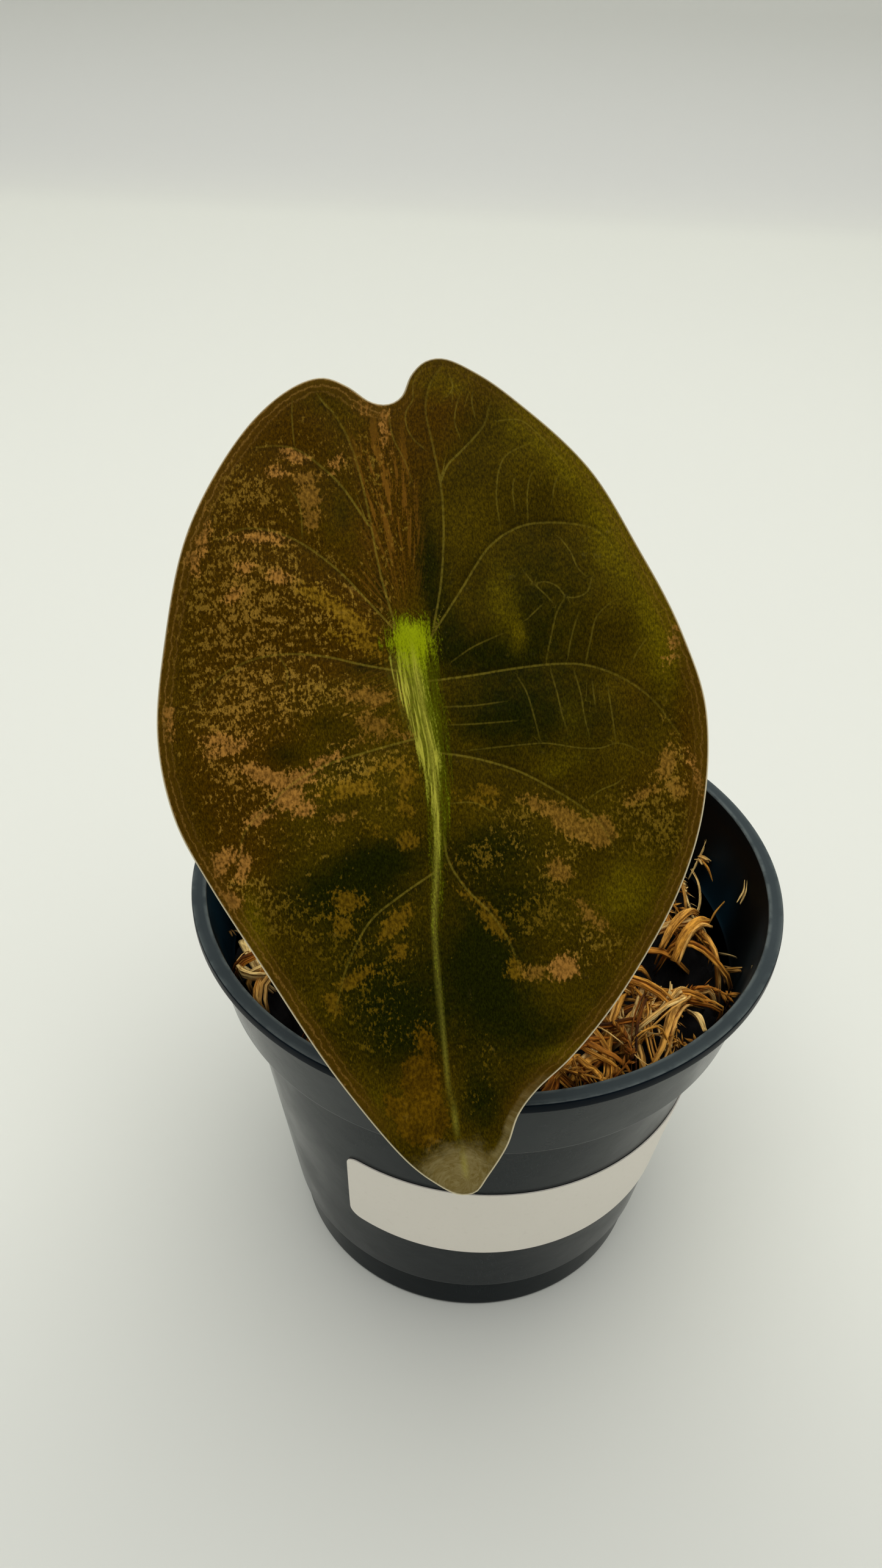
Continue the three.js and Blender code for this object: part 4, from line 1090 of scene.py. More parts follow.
def with_midrib(shader, tone, streak, fine):
    """The tone with the midrib's green glow, pale ropes and lime spot."""
    hairs = (streak - 0.5) * 1.8 + (fine - 0.5) * 1.2
    hairs = hairs * shader.between(shader.field("glow"), 0.03, 0.3)
    glow = shader.between(shader.field("glow") + hairs, 0.2, 1.0, 0, 0.85)
    tone = shader.mix(glow, tone, MIDRIB_GLOW)
    green = shader.between(shader.field("lime") + hairs, 0.12, 0.95)
    tone = shader.mix(green * 0.85, tone, MIDRIB_GREEN)
    ropes = shader.between(streak, 0.47, 0.6, 0.12, 1.0)
    pale = shader.between(shader.field("pale") + hairs * 0.6, 0.15, 0.75)
    tone = shader.mix(pale * ropes, tone, MIDRIB_PALE)
    spot = shader.between(shader.field("spot") + hairs * 0.9, 0.1, 0.95)
    tone = shader.mix(spot * shader.between(fine, 0.3, 0.6, 0.65, 1.0), tone, MIDRIB_LIME)
    core = shader.field("core") * shader.between(fine, 0.25, 0.6, 0.5, 1.0)
    tone = shader.mix(core, tone, MIDRIB_PALE)
    return tone


def with_margin(shader, tone, clump, fine):
    """The tone with brown rings along the margin and a painted glow of light along the edge."""
    rim = shader.field("rim")
    waver = rim + (clump - 0.5) * 1.1
    rings = shader.math("SINE", waver * 9.5)
    zone = 1 - shader.between(waver, 0.5, 2.4)
    tone = shader.mix(zone * shader.field("rim_brown"), tone, RIM_BROWN)
    lines = zone * shader.field("rim_lines") * shader.between(rings, 0.3, 1.0)
    lines = lines * shader.between(fine, 0.3, 0.6, 0.1, 1.0)
    tone = shader.mix(lines, tone, RIM_TAN)
    # Painted light: a pale line along the edge where light shines through
    edge = 1 - shader.between(rim, 0.08, 0.24)
    tone = shader.mix(edge * shader.field("rim_painted_glow"), tone, RIM_PAINTED_GLOW)
    return tone


def make_upper_material():
    shader = Shader("leaf_upper", Roughness=0.5, Specular_IOR_Level=0.015)
    at = shader.place("leaf_mm")
    flow = shader.place("flow_mm")
    grain = shader.noise(shader.stretched(at, (1, 0.6, 1)), 3.3, 2.0, 0.6)
    fine = shader.noise(shader.stretched(at, (1, 0.45, 1)), 7.0, 2.0, 0.6)
    clump = shader.noise(at, 0.8, 5.0, 0.66)
    cloud = shader.noise(at, 0.16, 3.0)
    comb = shader.noise(shader.stretched(flow, (1, 0.13, 1)), 1.7, 4.0, 0.62)
    streak = shader.noise(shader.stretched(shader.place("midrib_mm"), (3.0, 0.2, 1)), 1.0, 5.0, 0.62)

    tone = shader.mix(shader.between(cloud, 0.35, 0.65), OLIVE, OLIVE_DARK)
    # Brown, green and paler spots; the paler ones are partly painted glow
    for name, colour in (("brown", LEAF_BROWN), ("green", LEAF_GREEN), ("light", LEAF_PALE_AND_GLOW)):
        edge = (clump - 0.5) * 0.8
        share = shader.between(shader.field(name) + edge, 0.1, 0.95, 0, 0.95)
        tone = shader.mix(share, tone, colour)
    for texture, depth in ((fine, 0.4), (grain, 0.3)):
        dark, bright = (1 - depth,) * 3 + (1,), (1 + depth,) * 3 + (1,)
        tone = shader.tinted(tone, shader.mix(shader.between(texture, 0.3, 0.7), dark, bright))

    scatter = grain * 0.42 + (clump * 0.36 + comb * 0.22)
    limit = 0.628 - shader.field("speckle") * 0.165
    specks = shader.between(scatter - limit, -0.02, 0.05)
    speck_tone = shader.mix(shader.field("pink_tint"), SPECK_TAN, SPECK_PINK)
    speck_tone = shader.mix(shader.field("bright"), SPECK_DIM, speck_tone)
    speck_tone = shader.tinted(speck_tone, shader.mix(shader.between(fine, 0.3, 0.7), *SPECK_TINTS))
    tone = shader.mix(specks * 0.88, tone, speck_tone)

    hair = shader.noise(shader.stretched(flow, (1, 0.06, 1)), 3.0, 3.0, 0.6)
    streaks = shader.between(hair + (fine - 0.5) * 0.2, 0.48, 0.58)
    tone = shader.mix(streaks * (shader.field("streaky") * 0.6), tone, STREAK_BROWN)

    wander = (comb - 0.5) * 1.6
    rough = (clump - 0.5) * 1.8
    jag = wander + rough + (grain - 0.5) * 2.2
    fleck = shader.mix(shader.between(grain, 0.35, 0.65), *FLECK_TINTS)
    gold = shader.mix(shader.field("bright"), GOLD_DIM, PATCH_GOLD)
    blotch = shader.mix(shader.between(clump * 0.5 + comb * 0.5, 0.42, 0.58), *BLOTCH_TINTS)
    brown = shader.tinted(PATCH_BROWN, blotch)
    patches = (
        ("brown_patch", brown, 0.72),
        ("gold", gold, 0.76),
        ("tan", PATCH_TAN, 0.62),
        ("pink", PATCH_PINK, 0.76),
    )
    for name, colour, strength in patches:
        patch = shader.between(shader.field(name) + jag, -0.3, 0.36)
        tone = shader.mix(patch * strength, tone, shader.tinted(colour, fleck))

    # Painted sheen: a grey swirl of light over the tip
    round_tip = shader.stretched(shader.place("swirl_mm"), (2.2, 0.9, 1))
    swirl = shader.noise(round_tip, 1.0, 5.0, 0.7, 1.2)
    sheen_swirl = shader.mix(shader.between(swirl, 0.36, 0.66), *TIP_SHEEN_TINTS)
    frayed = (clump - 0.5) * 0.8 + (comb - 0.5) * 0.5
    tip_sheen = shader.between(shader.field("tip_painted_sheen") + frayed, 0.08, 0.8, 0, 0.88)
    tone = shader.mix(tip_sheen, tone, shader.tinted(TIP_PAINTED_SHEEN, sheen_swirl))

    tone = with_veins(shader, tone, grain)
    tone = with_midrib(shader, tone, streak, fine)
    tone = with_margin(shader, tone, clump, fine)
    relief = shader.bump(grain, 0.00004, 0.5)
    relief = shader.bump(streak, 0.00005, 0.3, relief)
    return shader.finish(Base_Color=tone, Normal=relief)


def make_under_material():
    shader = Shader("leaf_under", Roughness=0.5, Specular_IOR_Level=0.3)
    at = shader.place("leaf_mm")
    grain = shader.noise(shader.stretched(at, (1, 0.5, 1)), 5.0, 3.0, 0.6)
    clump = shader.noise(at, 0.5, 5.0, 0.6)
    net = shader.noise(at, 2.2, 2.0)
    tone = shader.mix(shader.between(clump, 0.35, 0.65), srgb(92, 44, 52), srgb(74, 36, 44))
    speckle = shader.field("speckle") * shader.between(grain, 0.5, 0.62, 0, 0.55)
    tone = shader.mix(speckle, tone, srgb(150, 98, 84))
    tone = shader.mix(shader.field("ridge") * 0.85, tone, srgb(138, 120, 74))
    tone = shader.mix(shader.field("lime"), tone, srgb(150, 160, 78))
    edge = 1 - shader.between(shader.field("rim"), 0.1, 0.5)
    tone = shader.mix(edge, tone, srgb(170, 132, 104))
    relief = shader.bump(net, 0.0001, 0.4)
    return shader.finish(Base_Color=tone, Normal=relief)


def down_leaf(y, name):
    """A width or strength of the leaf's markings, which changes with the distance from the attachment."""
    return np.interp(-y, *DOWN_LEAF[name])


def midrib_fields(x, y, midrib):
    """The glow, lime spot and pale ropes of the midrib."""
    around = np.arctan2(y + 0.9, x)
    ragged = 1 + 0.07 * np.sin(around * 5 + 1) + 0.05 * np.sin(around * 11)
    from_spot = np.hypot(x, y - SPOT_MIDDLE_Y) * ragged
    spot = bell(from_spot, SPOT_RADIUS, 2.4)
    halo = np.where(midrib > 0, down_leaf(y, "halo_right"), down_leaf(y, "halo_left"))
    near_midrib = bell(midrib, halo, 4) * smooth_step(-y, 0, 1.6)
    flank = bell(np.abs(midrib - down_leaf(y, "glow_lean")), down_leaf(y, "glow_width"), 3)
    flank = flank * smooth_step(-y, -1.4, 1) * down_leaf(y, "glow")
    pale = bell(midrib - down_leaf(y, "pale_lean"), down_leaf(y, "pale_width"))
    return {
        "spot": np.maximum(spot, 0.75 * near_midrib * smooth_step(y, -7, -1.5)),
        "lime": np.maximum(spot, near_midrib * down_leaf(y, "lime")),
        "glow": np.maximum(0.9 * bell(from_spot, 2.8, 3), flank),
        "pale": pale * smooth_step(-y, 0.8, 3.2) * down_leaf(y, "pale"),
        "core": bell(midrib, down_leaf(y, "core_width")) * down_leaf(y, "core"),
    }


def leaf_fields(at):
    """Everything that the leaf's materials and relief need to know of each place on the blade."""
    x, y = at[:, 0], at[:, 1]
    flat = np.zeros(len(at))
    midrib, along = nearest_line(at, [MIDRIB])
    vein, vein_share = nearest_line(at, LATERALS)
    minor, minor_share = nearest_line(at, MINOR_VEINS)
    rim_path = centripetal(OUTLINE, closed=True, samples=10)
    rim, _ = nearest_line(at, [np.vstack([rim_path, rim_path[:1]])[::2]])
    rim = np.abs(rim)
    fields = {
        "rim": rim,
        "vein_line": vein,
        "vein": np.abs(vein),
        "vein_fade": 1 - 0.75 * vein_share ** 1.5,
        "minor_line": minor,
        "minor": np.abs(minor),
        "minor_fade": np.sin(np.pi * np.clip(minor_share * 0.9 + 0.08, 0, 1)) ** 0.5,
        "ridge": bell(vein, 0.55) * (1 - 0.6 * vein_share),
        **midrib_fields(x, y, midrib),
    }
    # Painted sheen over the tip and along the right margin near it
    tip_x, tip_y = x - TIP_MIDDLE[0], y - TIP_MIDDLE[1]
    from_tip = np.hypot(tip_x * 0.72, tip_y * 0.9)
    band = (x > 0.5) * (1 - smooth_step(rim, 0.8, 1.3)) * smooth_step(-y, 44, 47)
    tip_sheen_share = (1 - smooth_step(from_tip, 0.8, 5.2)) * (0.7 + 0.3 * smooth_step(x, -5, 1))
    fields["tip_painted_sheen"] = np.maximum(tip_sheen_share, 0.55 * band)
    fields["swirl_mm"] = np.stack([from_tip, np.arctan2(x - 0.2, tip_y) * 2, flat], 1)

    for name, spots in SOFT_SPOTS.items():
        fields[name] = np.clip(soft_spots(at, spots), 0, 1)
    speckle = soft_spots(at, SPECKLE_SPOTS) - soft_spots(at, CLEAR_SPOTS)
    fields["speckle"] = np.clip(speckle, 0, 1)
    for name, ovals in OVALS.items():
        fields[name] = oval_depth(at, ovals)

    # Painted light along the edge, stronger down the blade
    top_edge = np.where(x > 0, 0.5, 0.55)
    fields["rim_painted_glow"] = np.maximum(top_edge, down_leaf(y, "rim_painted_glow"))
    brown = np.where(x < 0, 0.55, down_leaf(y, "rim_brown"))
    fields["rim_brown"] = brown * smooth_step(y, -52, -46)
    rings = np.where(x < 0, 0.6, down_leaf(y, "rim_lines"))
    fields["rim_lines"] = rings * smooth_step(y, -50, -42)
    from_middle = np.abs(x) + down_leaf(y, "fan_shift")
    fan_angle = np.arctan2(from_middle * np.where(x < 0, -1, 1), y)
    across_flow = fan_angle * down_leaf(y, "fan_spread")
    fields["flow_mm"] = np.stack([across_flow, np.hypot(from_middle, y), flat], 1)
    fields["midrib_mm"] = np.stack([midrib, y, flat], 1)
    fields["leaf_mm"] = np.stack([x, y, flat], 1)
    shape = {"midrib": midrib, "along": along, "vein": vein, "vein_share": vein_share, "minor": minor}
    return fields, shape


def make_leaf():
    """The blade as one closed mesh: a polar grid about the petiole's attachment for each face."""
    rim = evenly(centripetal(OUTLINE, closed=True, samples=16), LEAF_COLUMNS, closed=True)
    shares = np.concatenate([np.linspace(0, 0.975, LEAF_RINGS - 4)[1:], [0.984, 0.991, 0.996, 0.999, 1]])
    rings = len(shares)
    at = np.concatenate([[[0, 0]], (shares[:, None, None] * rim[None]).reshape(-1, 2)])
    fields, shape = leaf_fields(at)
    x, y = at[:, 0], at[:, 1]

    ripple = np.sin(np.arange(LEAF_COLUMNS) / LEAF_COLUMNS * TURN * MARGIN_WAVES)
    wave = np.concatenate([[0], (MARGIN_WAVE * shares[:, None] ** 4 * ripple[None]).ravel()])
    inland = smooth_step(fields["rim"], 0, 5) * (1 - bell(shape["midrib"], 3))
    puff = PUFF_HEIGHT * (1 - bell(shape["vein"], 3.2)) + MINOR_PUFF_HEIGHT * (1 - bell(shape["minor"], 0.8))
    middle = blade_height(x, y) + wave + puff * inland
    round_edge = np.sqrt(1 - (1 - np.clip(fields["rim"] / EDGE_ROUNDING, 0, 1)) ** 2)
    round_edge[-LEAF_COLUMNS:] = 0
    half = BLADE_THICKNESS / 2 * round_edge

    groove = GROOVE_DEPTH * bell(shape["vein"], 0.4) * (1 - 0.6 * shape["vein_share"])
    rise = MIDRIB_RISE * bell(shape["midrib"], 0.9) * smooth_step(-y, -1, 1) * (1 - 0.8 * shape["along"])
    upper = middle + half - groove + rise

    midrib_radius = np.interp(shape["along"], [0, 1], MIDRIB_RIDGE)
    midrib_ridge = (2 * midrib_radius - 0.55) * bell(shape["midrib"], midrib_radius)
    vein_radius = np.interp(shape["vein_share"], [0, 1], LATERAL_RIDGE)
    vein_ridge = np.clip(2 * vein_radius - 0.5, 0.08, None) * bell(shape["vein"], vein_radius)
    boss = BOSS_DEPTH * bell(np.hypot(x, y), BOSS_RADIUS)
    lower = middle - half - np.maximum(np.maximum(midrib_ridge, vein_ridge), boss) * round_edge

    under = slice(0, len(at) - LEAF_COLUMNS)
    points = np.concatenate([np.stack([x, y, upper], 1), np.stack([x, y, lower], 1)[under]])
    base = len(at)
    top = grid(rings, LEAF_COLUMNS, start=1)
    bottom = np.where(top < base - LEAF_COLUMNS, top + base, top)[:, ::-1]
    innermost = fan(LEAF_COLUMNS)
    triangles = np.concatenate([innermost, innermost[:, ::-1] + base])
    leaf = make_mesh("leaf", to_model(points), np.concatenate([top, bottom]), triangles)
    for name, values in fields.items():
        add_field(leaf, name, np.concatenate([values, values[under]]))
    face_counts = (len(top), len(bottom), LEAF_COLUMNS, LEAF_COLUMNS)
    finishes = np.repeat(np.array([0, 1, 0, 1], np.int32), face_counts)
    add_piece(leaf, "leaf_skin", ["leaf_blade"], make_upper_material(), make_under_material())
    leaf.data.polygons.foreach_set("material_index", finishes)


# Petiole


def petiole_path():
    normal = LEAF_FRAME[:3, 2]
    place = np.array(LEAF_PLACE, float)
    reach = CHANNEL_DEPTH + BLADE_THICKNESS / 2
    base = np.array([*STEM_PLACE, SOCKET_FLOOR_Z])
    mouth = np.array([*STEM_PLACE, SHEATH_TOP_Z + 1])
    knots = [
        base, (base + mouth) / 2, mouth, (-2.2, 3.2, 74), (-5, 2.6, 88), (-8, -2.6, 98),
        place - normal * (reach + 6.4), place - normal * (reach + 2.4), place - normal * (reach + 0.3),
    ]
    return evenly(centripetal(knots, samples=30), 150)


def make_petiole():
    centres = petiole_path()
    share = np.linspace(0, 1, len(centres))
    radii = (PETIOLE_BASE_RADIUS, PETIOLE_TOP_RADIUS, 1.75, 2.25)
    radius = np.interp(share, [0, 0.93, 0.965, 1], radii)
    petiole = make_mesh("leaf_stalk", *tube(centres, radius, radius * 0.95, PETIOLE_SIDES), sharp_angle=60)
    add_field(petiole, "along", np.repeat(share, PETIOLE_SIDES))
    shader = Shader("petiole_skin", Roughness=0.42, Specular_IOR_Level=0.4)
    at = shader.object_place()
    lines = shader.noise(shader.stretched(at, (1, 1, 0.09)), 1700.0, 3.0, 0.6)
    spots = shader.noise(shader.stretched(at, (1, 1, 0.35)), 700.0, 3.0, 0.6)
    upward = shader.between(shader.field("along"), 0.05, 0.75)
    tone = shader.mix(upward, srgb(116, 104, 62), srgb(150, 164, 66))
    tone = shader.mix(shader.between(lines, 0.45, 0.7, 0, 0.5), tone, srgb(178, 184, 104))
    tone = shader.mix(shader.between(spots, 0.58, 0.66, 0, 0.5), tone, srgb(104, 66, 50))
    relief = shader.bump(lines, 0.00008, 0.5)
    add_piece(petiole, "petiole_skin", ["petiole"], shader.finish(Base_Color=tone, Normal=relief))


# Corm and sheath


def add_root(heap, number):
    """A root that leaves the corm's foot, wanders outwards and down, and tapers."""
    angle = number / ROOTS * TURN + 0.4
    share = np.linspace(0, 1, 22)
    reach = 2.4 + ROOT_LENGTH * share
    wander = 0.08 * np.sin(share * 9 + number * 2)
    fall = ROOT_LENGTH * share * (0.35 + 0.5 * share) - number % 2 * 3 * share
    x = STEM_PLACE[0] + np.cos(angle + wander) * reach
    y = STEM_PLACE[1] + np.sin(angle + wander) * reach
    radius = 1.1 - 0.6 * share
    points, quads, caps = tube(np.stack([x, y, 41 - fall], 1), radius, radius * 0.95, 14)
    heap.add(points, quads, caps)


def make_corm():
    """The corm's ringed body, with its roots and the sheath round the petiole's foot."""
    body = np.linspace(CORM_FOOT_Z, CORM_TOP_Z, 40)
    heights = np.concatenate([body, np.linspace(CORM_TOP_Z + 0.3, SHEATH_TOP_Z, 40)])
    scars = SCAR_DEPTH * np.sin(heights * 3.1) * smooth_step(-heights, -54, -50)
    radius = np.interp(heights, *CORM_OUTLINE) + scars
    points, quads = lathe([(0, CORM_FOOT_Z), *zip(radius, heights), *SHEATH_BORE], CORM_SEGMENTS)
    x, y, z = points.T
    angle = np.arctan2(y, x)
    swell = 1 + 0.035 * np.sin(angle * 3 + z * 0.3) + 0.02 * np.sin(angle * 7 - z * 0.7)
    slant = y / SHEATH_RADIUS * math.tan(SHEATH_SLANT) * 1.2 - 2 + 0.25 * np.sin(angle * 5)
    z = z + slant * smooth_step(z, 57, SHEATH_TOP_Z)
    points = np.stack([x * swell + STEM_PLACE[0], y * swell + STEM_PLACE[1], z], 1)
    heap = Heap()
    heap.add(points, quads)
    for number in range(ROOTS):
        add_root(heap, number)
    corm = heap.build("corm_body")
    weld(corm, 1e-7)
    shader = Shader("corm_skin", Roughness=0.75, Specular_IOR_Level=0.25)
    at = shader.object_place()
    fibre = shader.noise(shader.stretched(at, (1, 1, 0.12)), 1500.0, 4.0, 0.65)
    patch = shader.noise(at, 260.0, 3.0)
    tone = shader.mix(shader.between(patch, 0.35, 0.65), srgb(124, 92, 54), srgb(96, 66, 38))
    tone = shader.mix(shader.between(fibre, 0.5, 0.72, 0, 0.7), tone, srgb(176, 148, 98))
    relief = shader.bump(fibre, 0.00015, 0.7)
    add_piece(corm, "corm_skin", ["corm"], shader.finish(Base_Color=tone, Normal=relief))


# Moss

# Clumps and hollows in the moss: x, y, radius, height
CLUMPS = [
    (26, -5, 4, 3.6), (25, -11.3, 2.8, -6), (20, -19, 4.5, 3.2), (12, -27, 4, 1.5), (-25, -19, 4, 1.2),
    (-21, -24, 3, -2.5), (28, -16, 3, 1), (0, 20, 6, 2), (-16, 14, 6, 1.6), (14, 14, 6, 1.4),
    (-12, -8, 5, -2), (8, -12, 5, 1.2), (-26, 2, 4, 1), (6, 28, 4, -1.5), (-8, 26, 4, 1.5),
    (20, 6, 3.5, -2), (-2, -24, 5, 1), (33, -11, 4, -5), (33.5, 3, 5, -5.5), (30, 14, 4, -3),
    (-32, -4, 6, -6), (-30.5, -12, 4, -4),
]
# Single strands that stand out: their points, half width and tone
PLACED_STRANDS = [
    (
        [(24.2, -12.6, 56), (23.8, -14, 57.8), (23.3, -16.4, 58.4),
         (22.3, -18.6, 58.4), (20.6, -21.2, 58), (18.8, -23.7, 56.6)],
        0.42, 1.0,
    ),
    (
        [(20.4, -13.6, 56.6), (20, -15.4, 58.2), (19.2, -19, 58.8),
         (18.2, -22.2, 58.2), (17.7, -23.8, 57)],
        0.8, 0.85,
    ),
    ([(21.6, -13.8, 56.8), (21.2, -16, 58.2), (20, -19.5, 58.6), (19.3, -22.8, 57.6)], 0.55, 0.95),
    ([(25.4, -17, 56), (26.3, -19.2, 57.6), (27, -21, 57.2)], 0.7, 0.9),
    ([(24.4, -9.2, 56.4), (25.6, -6.8, 58.8), (27.4, -4.6, 59), (29.2, -3, 57.4)], 0.9, 0.5),
    ([(22.8, -7.4, 56.8), (24.4, -5, 59), (26.4, -2.6, 59), (28, -1, 57)], 0.8, 0.42),
    ([(28.8, 12.6, 51), (30.2, 14.8, 53.4), (31.2, 16.4, 55.6)], 0.3, 1.0),
    ([(34, 3, 55.9), (34.7, 4.1, 57.3), (34.9, 5.2, 58.2)], 0.42, 1.1),
    ([(31.6, -1.9, 51.4), (32.8, -3.2, 52.2), (33.4, -4.4, 53)], 0.4, 1.0),
    ([(31.6, -5.7, 51.6), (32.6, -6.4, 52.6), (33.2, -7, 53.4)], 0.6, 0.6),
    ([(28.4, 3, 52.6), (29.5, 5.6, 52), (29.9, 8, 52.2), (29.7, 10.6, 52.6), (29, 12.8, 52.8)], 0.45, 0.7),
    ([(29.9, 15.3, 53), (30.3, 14.4, 53.7), (30.7, 13.2, 53.9)], 0.95, 0.8),
    ([(30.4, 13.8, 53.6), (31.1, 12, 53.6), (31.7, 10.2, 53)], 0.4, 0.6),
    ([(30.6, 3, 51.6), (31.6, 4.8, 52.2), (32.8, 6, 53.4)], 0.3, 0.45),
    ([(33.9, -15.3, 62.1), (34.5, -15.8, 62.4), (35.2, -16.1, 62.3)], 0.35, 1.2),
    ([(-32.8, -7.2, 54), (-32.3, -8.4, 55.5), (-31.6, -9.4, 55.8)], 0.6, 0.7),
    (
        [(-30.2, -9.6, 54.6), (-29.9, -11.4, 56.6), (-28.9, -13.6, 57.4),
         (-27.6, -15.8, 57.6), (-26, -18, 57.2)],
        0.95, 1.3,
    ),
    ([(-30, -15.6, 56.2), (-28.6, -17.4, 57.6), (-26.6, -19.2, 58), (-24.6, -20.4, 57.4)], 0.6, 1.25),
    ([(10.6, -30.6, 56.8), (12, -28.4, 58.2), (13.6, -26.4, 58.2), (15, -24, 57)], 0.7, 0.95),
    ([(7.8, -31.4, 57), (10.2, -29.2, 58.4), (12.4, -28.8, 58), (15.4, -28.6, 56.8)], 0.55, 0.8),
]
# Open places that no loose strand crosses: x, y, half width and half length
OPEN_PLACES = [(25, -11, 5.6, 2), (33.5, 3, 3.6, 10), (-32.5, -7, 4.6, 8), (31, 14, 4, 4)]


def moss_level(x, y):
    """Height of the moss without its clumps and hollows."""
    return MOSS_TOP_Z - y * MOSS_RISE_TO_FRONT - x * MOSS_FALL_TO_RIGHT


def moss_height(x, y):
    bumps = np.sin(x * 0.31 + 1.2) * np.cos(y * 0.27 - 0.4) + 0.5 * np.sin(x * 0.7 - y * 0.5)
    height = moss_level(x, y) + bumps * MOSS_BUMP
    for clump_x, clump_y, radius, rise in CLUMPS:
        height = height + rise * np.exp(-((x - clump_x) ** 2 + (y - clump_y) ** 2) / radius ** 2)
    return height


def crosses_open_place(path):
    """Whether the middle part of a path runs over an open place."""
    x, y = path[2:-2, 0], path[2:-2, 1]
    for place_x, place_y, half_width, half_length in OPEN_PLACES:
        if np.hypot((x - place_x) / half_width, (y - place_y) / half_length).min() < 1:
            return True
    return False


def keep_inside(points, margin):
    """Lifts points onto the pot's ledge, and pulls them towards its axis until they clear the wall."""
    reach = np.hypot(points[:, 0], points[:, 1])
    on_ledge = reach > BODY_TOP_RADIUS - WALL - LEDGE_MARGIN
    z = np.where(on_ledge, np.maximum(points[:, 2], COLLAR_FOOT_Z + margin), points[:, 2])
    room = wall_radius(z) - WALL - margin
    pull = np.minimum(1, room / np.maximum(reach, 1e-6))
    return np.stack([points[:, 0] * pull, points[:, 1] * pull, z], 1)


def make_moss_bed(material):
    """The packed moss under the loose strands, dark brown and painted deep in shade."""
    shares = np.linspace(0, 1, BED_RINGS + 1)[1:]
    angles = np.arange(BED_COLUMNS) / BED_COLUMNS * TURN
    reach = shares[:, None] * (MOSS_EDGE_RADIUS + 0.2)
    x, y = (reach * np.cos(angles)).ravel(), (reach * np.sin(angles)).ravel()
    pits = 0.8 * np.sin(x * 1.9 + np.sin(y * 1.3)) * np.sin(y * 2.1 + np.sin(x * 1.7))
    pits = pits + 0.4 * np.sin(x * 4.3 + y * 3.7)
    z = moss_height(x, y) - HOLLOW_SINK + pits
    middle = [[0, 0, moss_height(0, 0) - HOLLOW_SINK]]
    top = np.concatenate([middle, keep_inside(np.stack([x, y, z], 1), 0.1)])
    on_ledge = top[-BED_COLUMNS:] * (0.92, 0.92, 0) + (0, 0, COLLAR_FOOT_Z + 0.1)
    skirt = on_ledge * (0.98, 0.98, 0) + (0, 0, MOSS_FLOOR_Z)
    points = np.concatenate([top, on_ledge, skirt, [[0, 0, MOSS_FLOOR_Z]]])
    quads = grid(BED_RINGS + 2, BED_COLUMNS, start=1)
    innermost = fan(BED_COLUMNS)
    last = len(points) - 1 - BED_COLUMNS
    floor = innermost[:, [0, 2, 1]] + (last + BED_COLUMNS, last - 1, last - 1)
    bed = make_mesh("moss_bed", points, quads, np.concatenate([innermost, floor]))
    # Painted shade: the bed takes the darkest tone and the deepest shade
    add_field(bed, "tone", np.full(len(points), -0.2))
    add_field(bed, "strand_mm", points)
    add_field(bed, "lift", np.full(len(points), -3.0))
    add_piece(bed, "moss_fibre", [], material)


def make_moss_material():
    shader = Shader("moss_fibre", Roughness=0.8, Specular_IOR_Level=0.2)
    at = shader.place("strand_mm")
    fibre = shader.noise(shader.stretched(at, (2.6, 0.3, 1)), 1.4, 4.0, 0.65)
    patch = shader.noise(shader.object_place(), 160.0, 3.0)
    shade = shader.field("tone") + (patch - 0.5) * 0.5
    tone = shader.mix(shader.between(shade, 0.0, 0.25), srgb(50, 24, 4), srgb(152, 88, 18))
    tone = shader.mix(shader.between(shade, 0.2, 0.5), tone, srgb(206, 146, 54))
    tone = shader.mix(shader.between(shade, 0.5, 0.95), tone, srgb(238, 206, 134))
    tone = shader.tinted(tone, shader.mix(shader.between(fibre, 0.36, 0.62), *FIBRE_TINTS))
    # Painted shade: darker the lower a place lies under the moss's level
    depth = shader.between(shader.field("lift"), -2.8, 1.8)
    tone = shader.tinted(tone, shader.mix(depth, *HOLLOW_SHADE_TINTS))
    relief = shader.bump(fibre, 0.00025, 0.8)
    return shader.finish(Base_Color=tone, Normal=relief)


def add_strand(heap, centres, across, thick, twist, tone, number):
    points, quads, caps = tube(centres, across, thick, STRAND_SIDES, twist)
    travelled = np.concatenate([[0], np.cumsum(np.linalg.norm(np.diff(centres, axis=0), axis=1))])
    around = np.tile(np.arange(STRAND_SIDES) / STRAND_SIDES * 2, len(centres))
    travelled = np.repeat(travelled, STRAND_SIDES)
    place = np.stack([around, travelled, np.full(len(points), number * 3.7)], 1)
    points = keep_inside(points, WALL_GAP)
    # lift sets the painted shade in the moss's hollows
    lift = points[:, 2] - moss_level(points[:, 0], points[:, 1])
    heap.add(points, quads, caps, tone=tone, strand_mm=place, lift=lift)


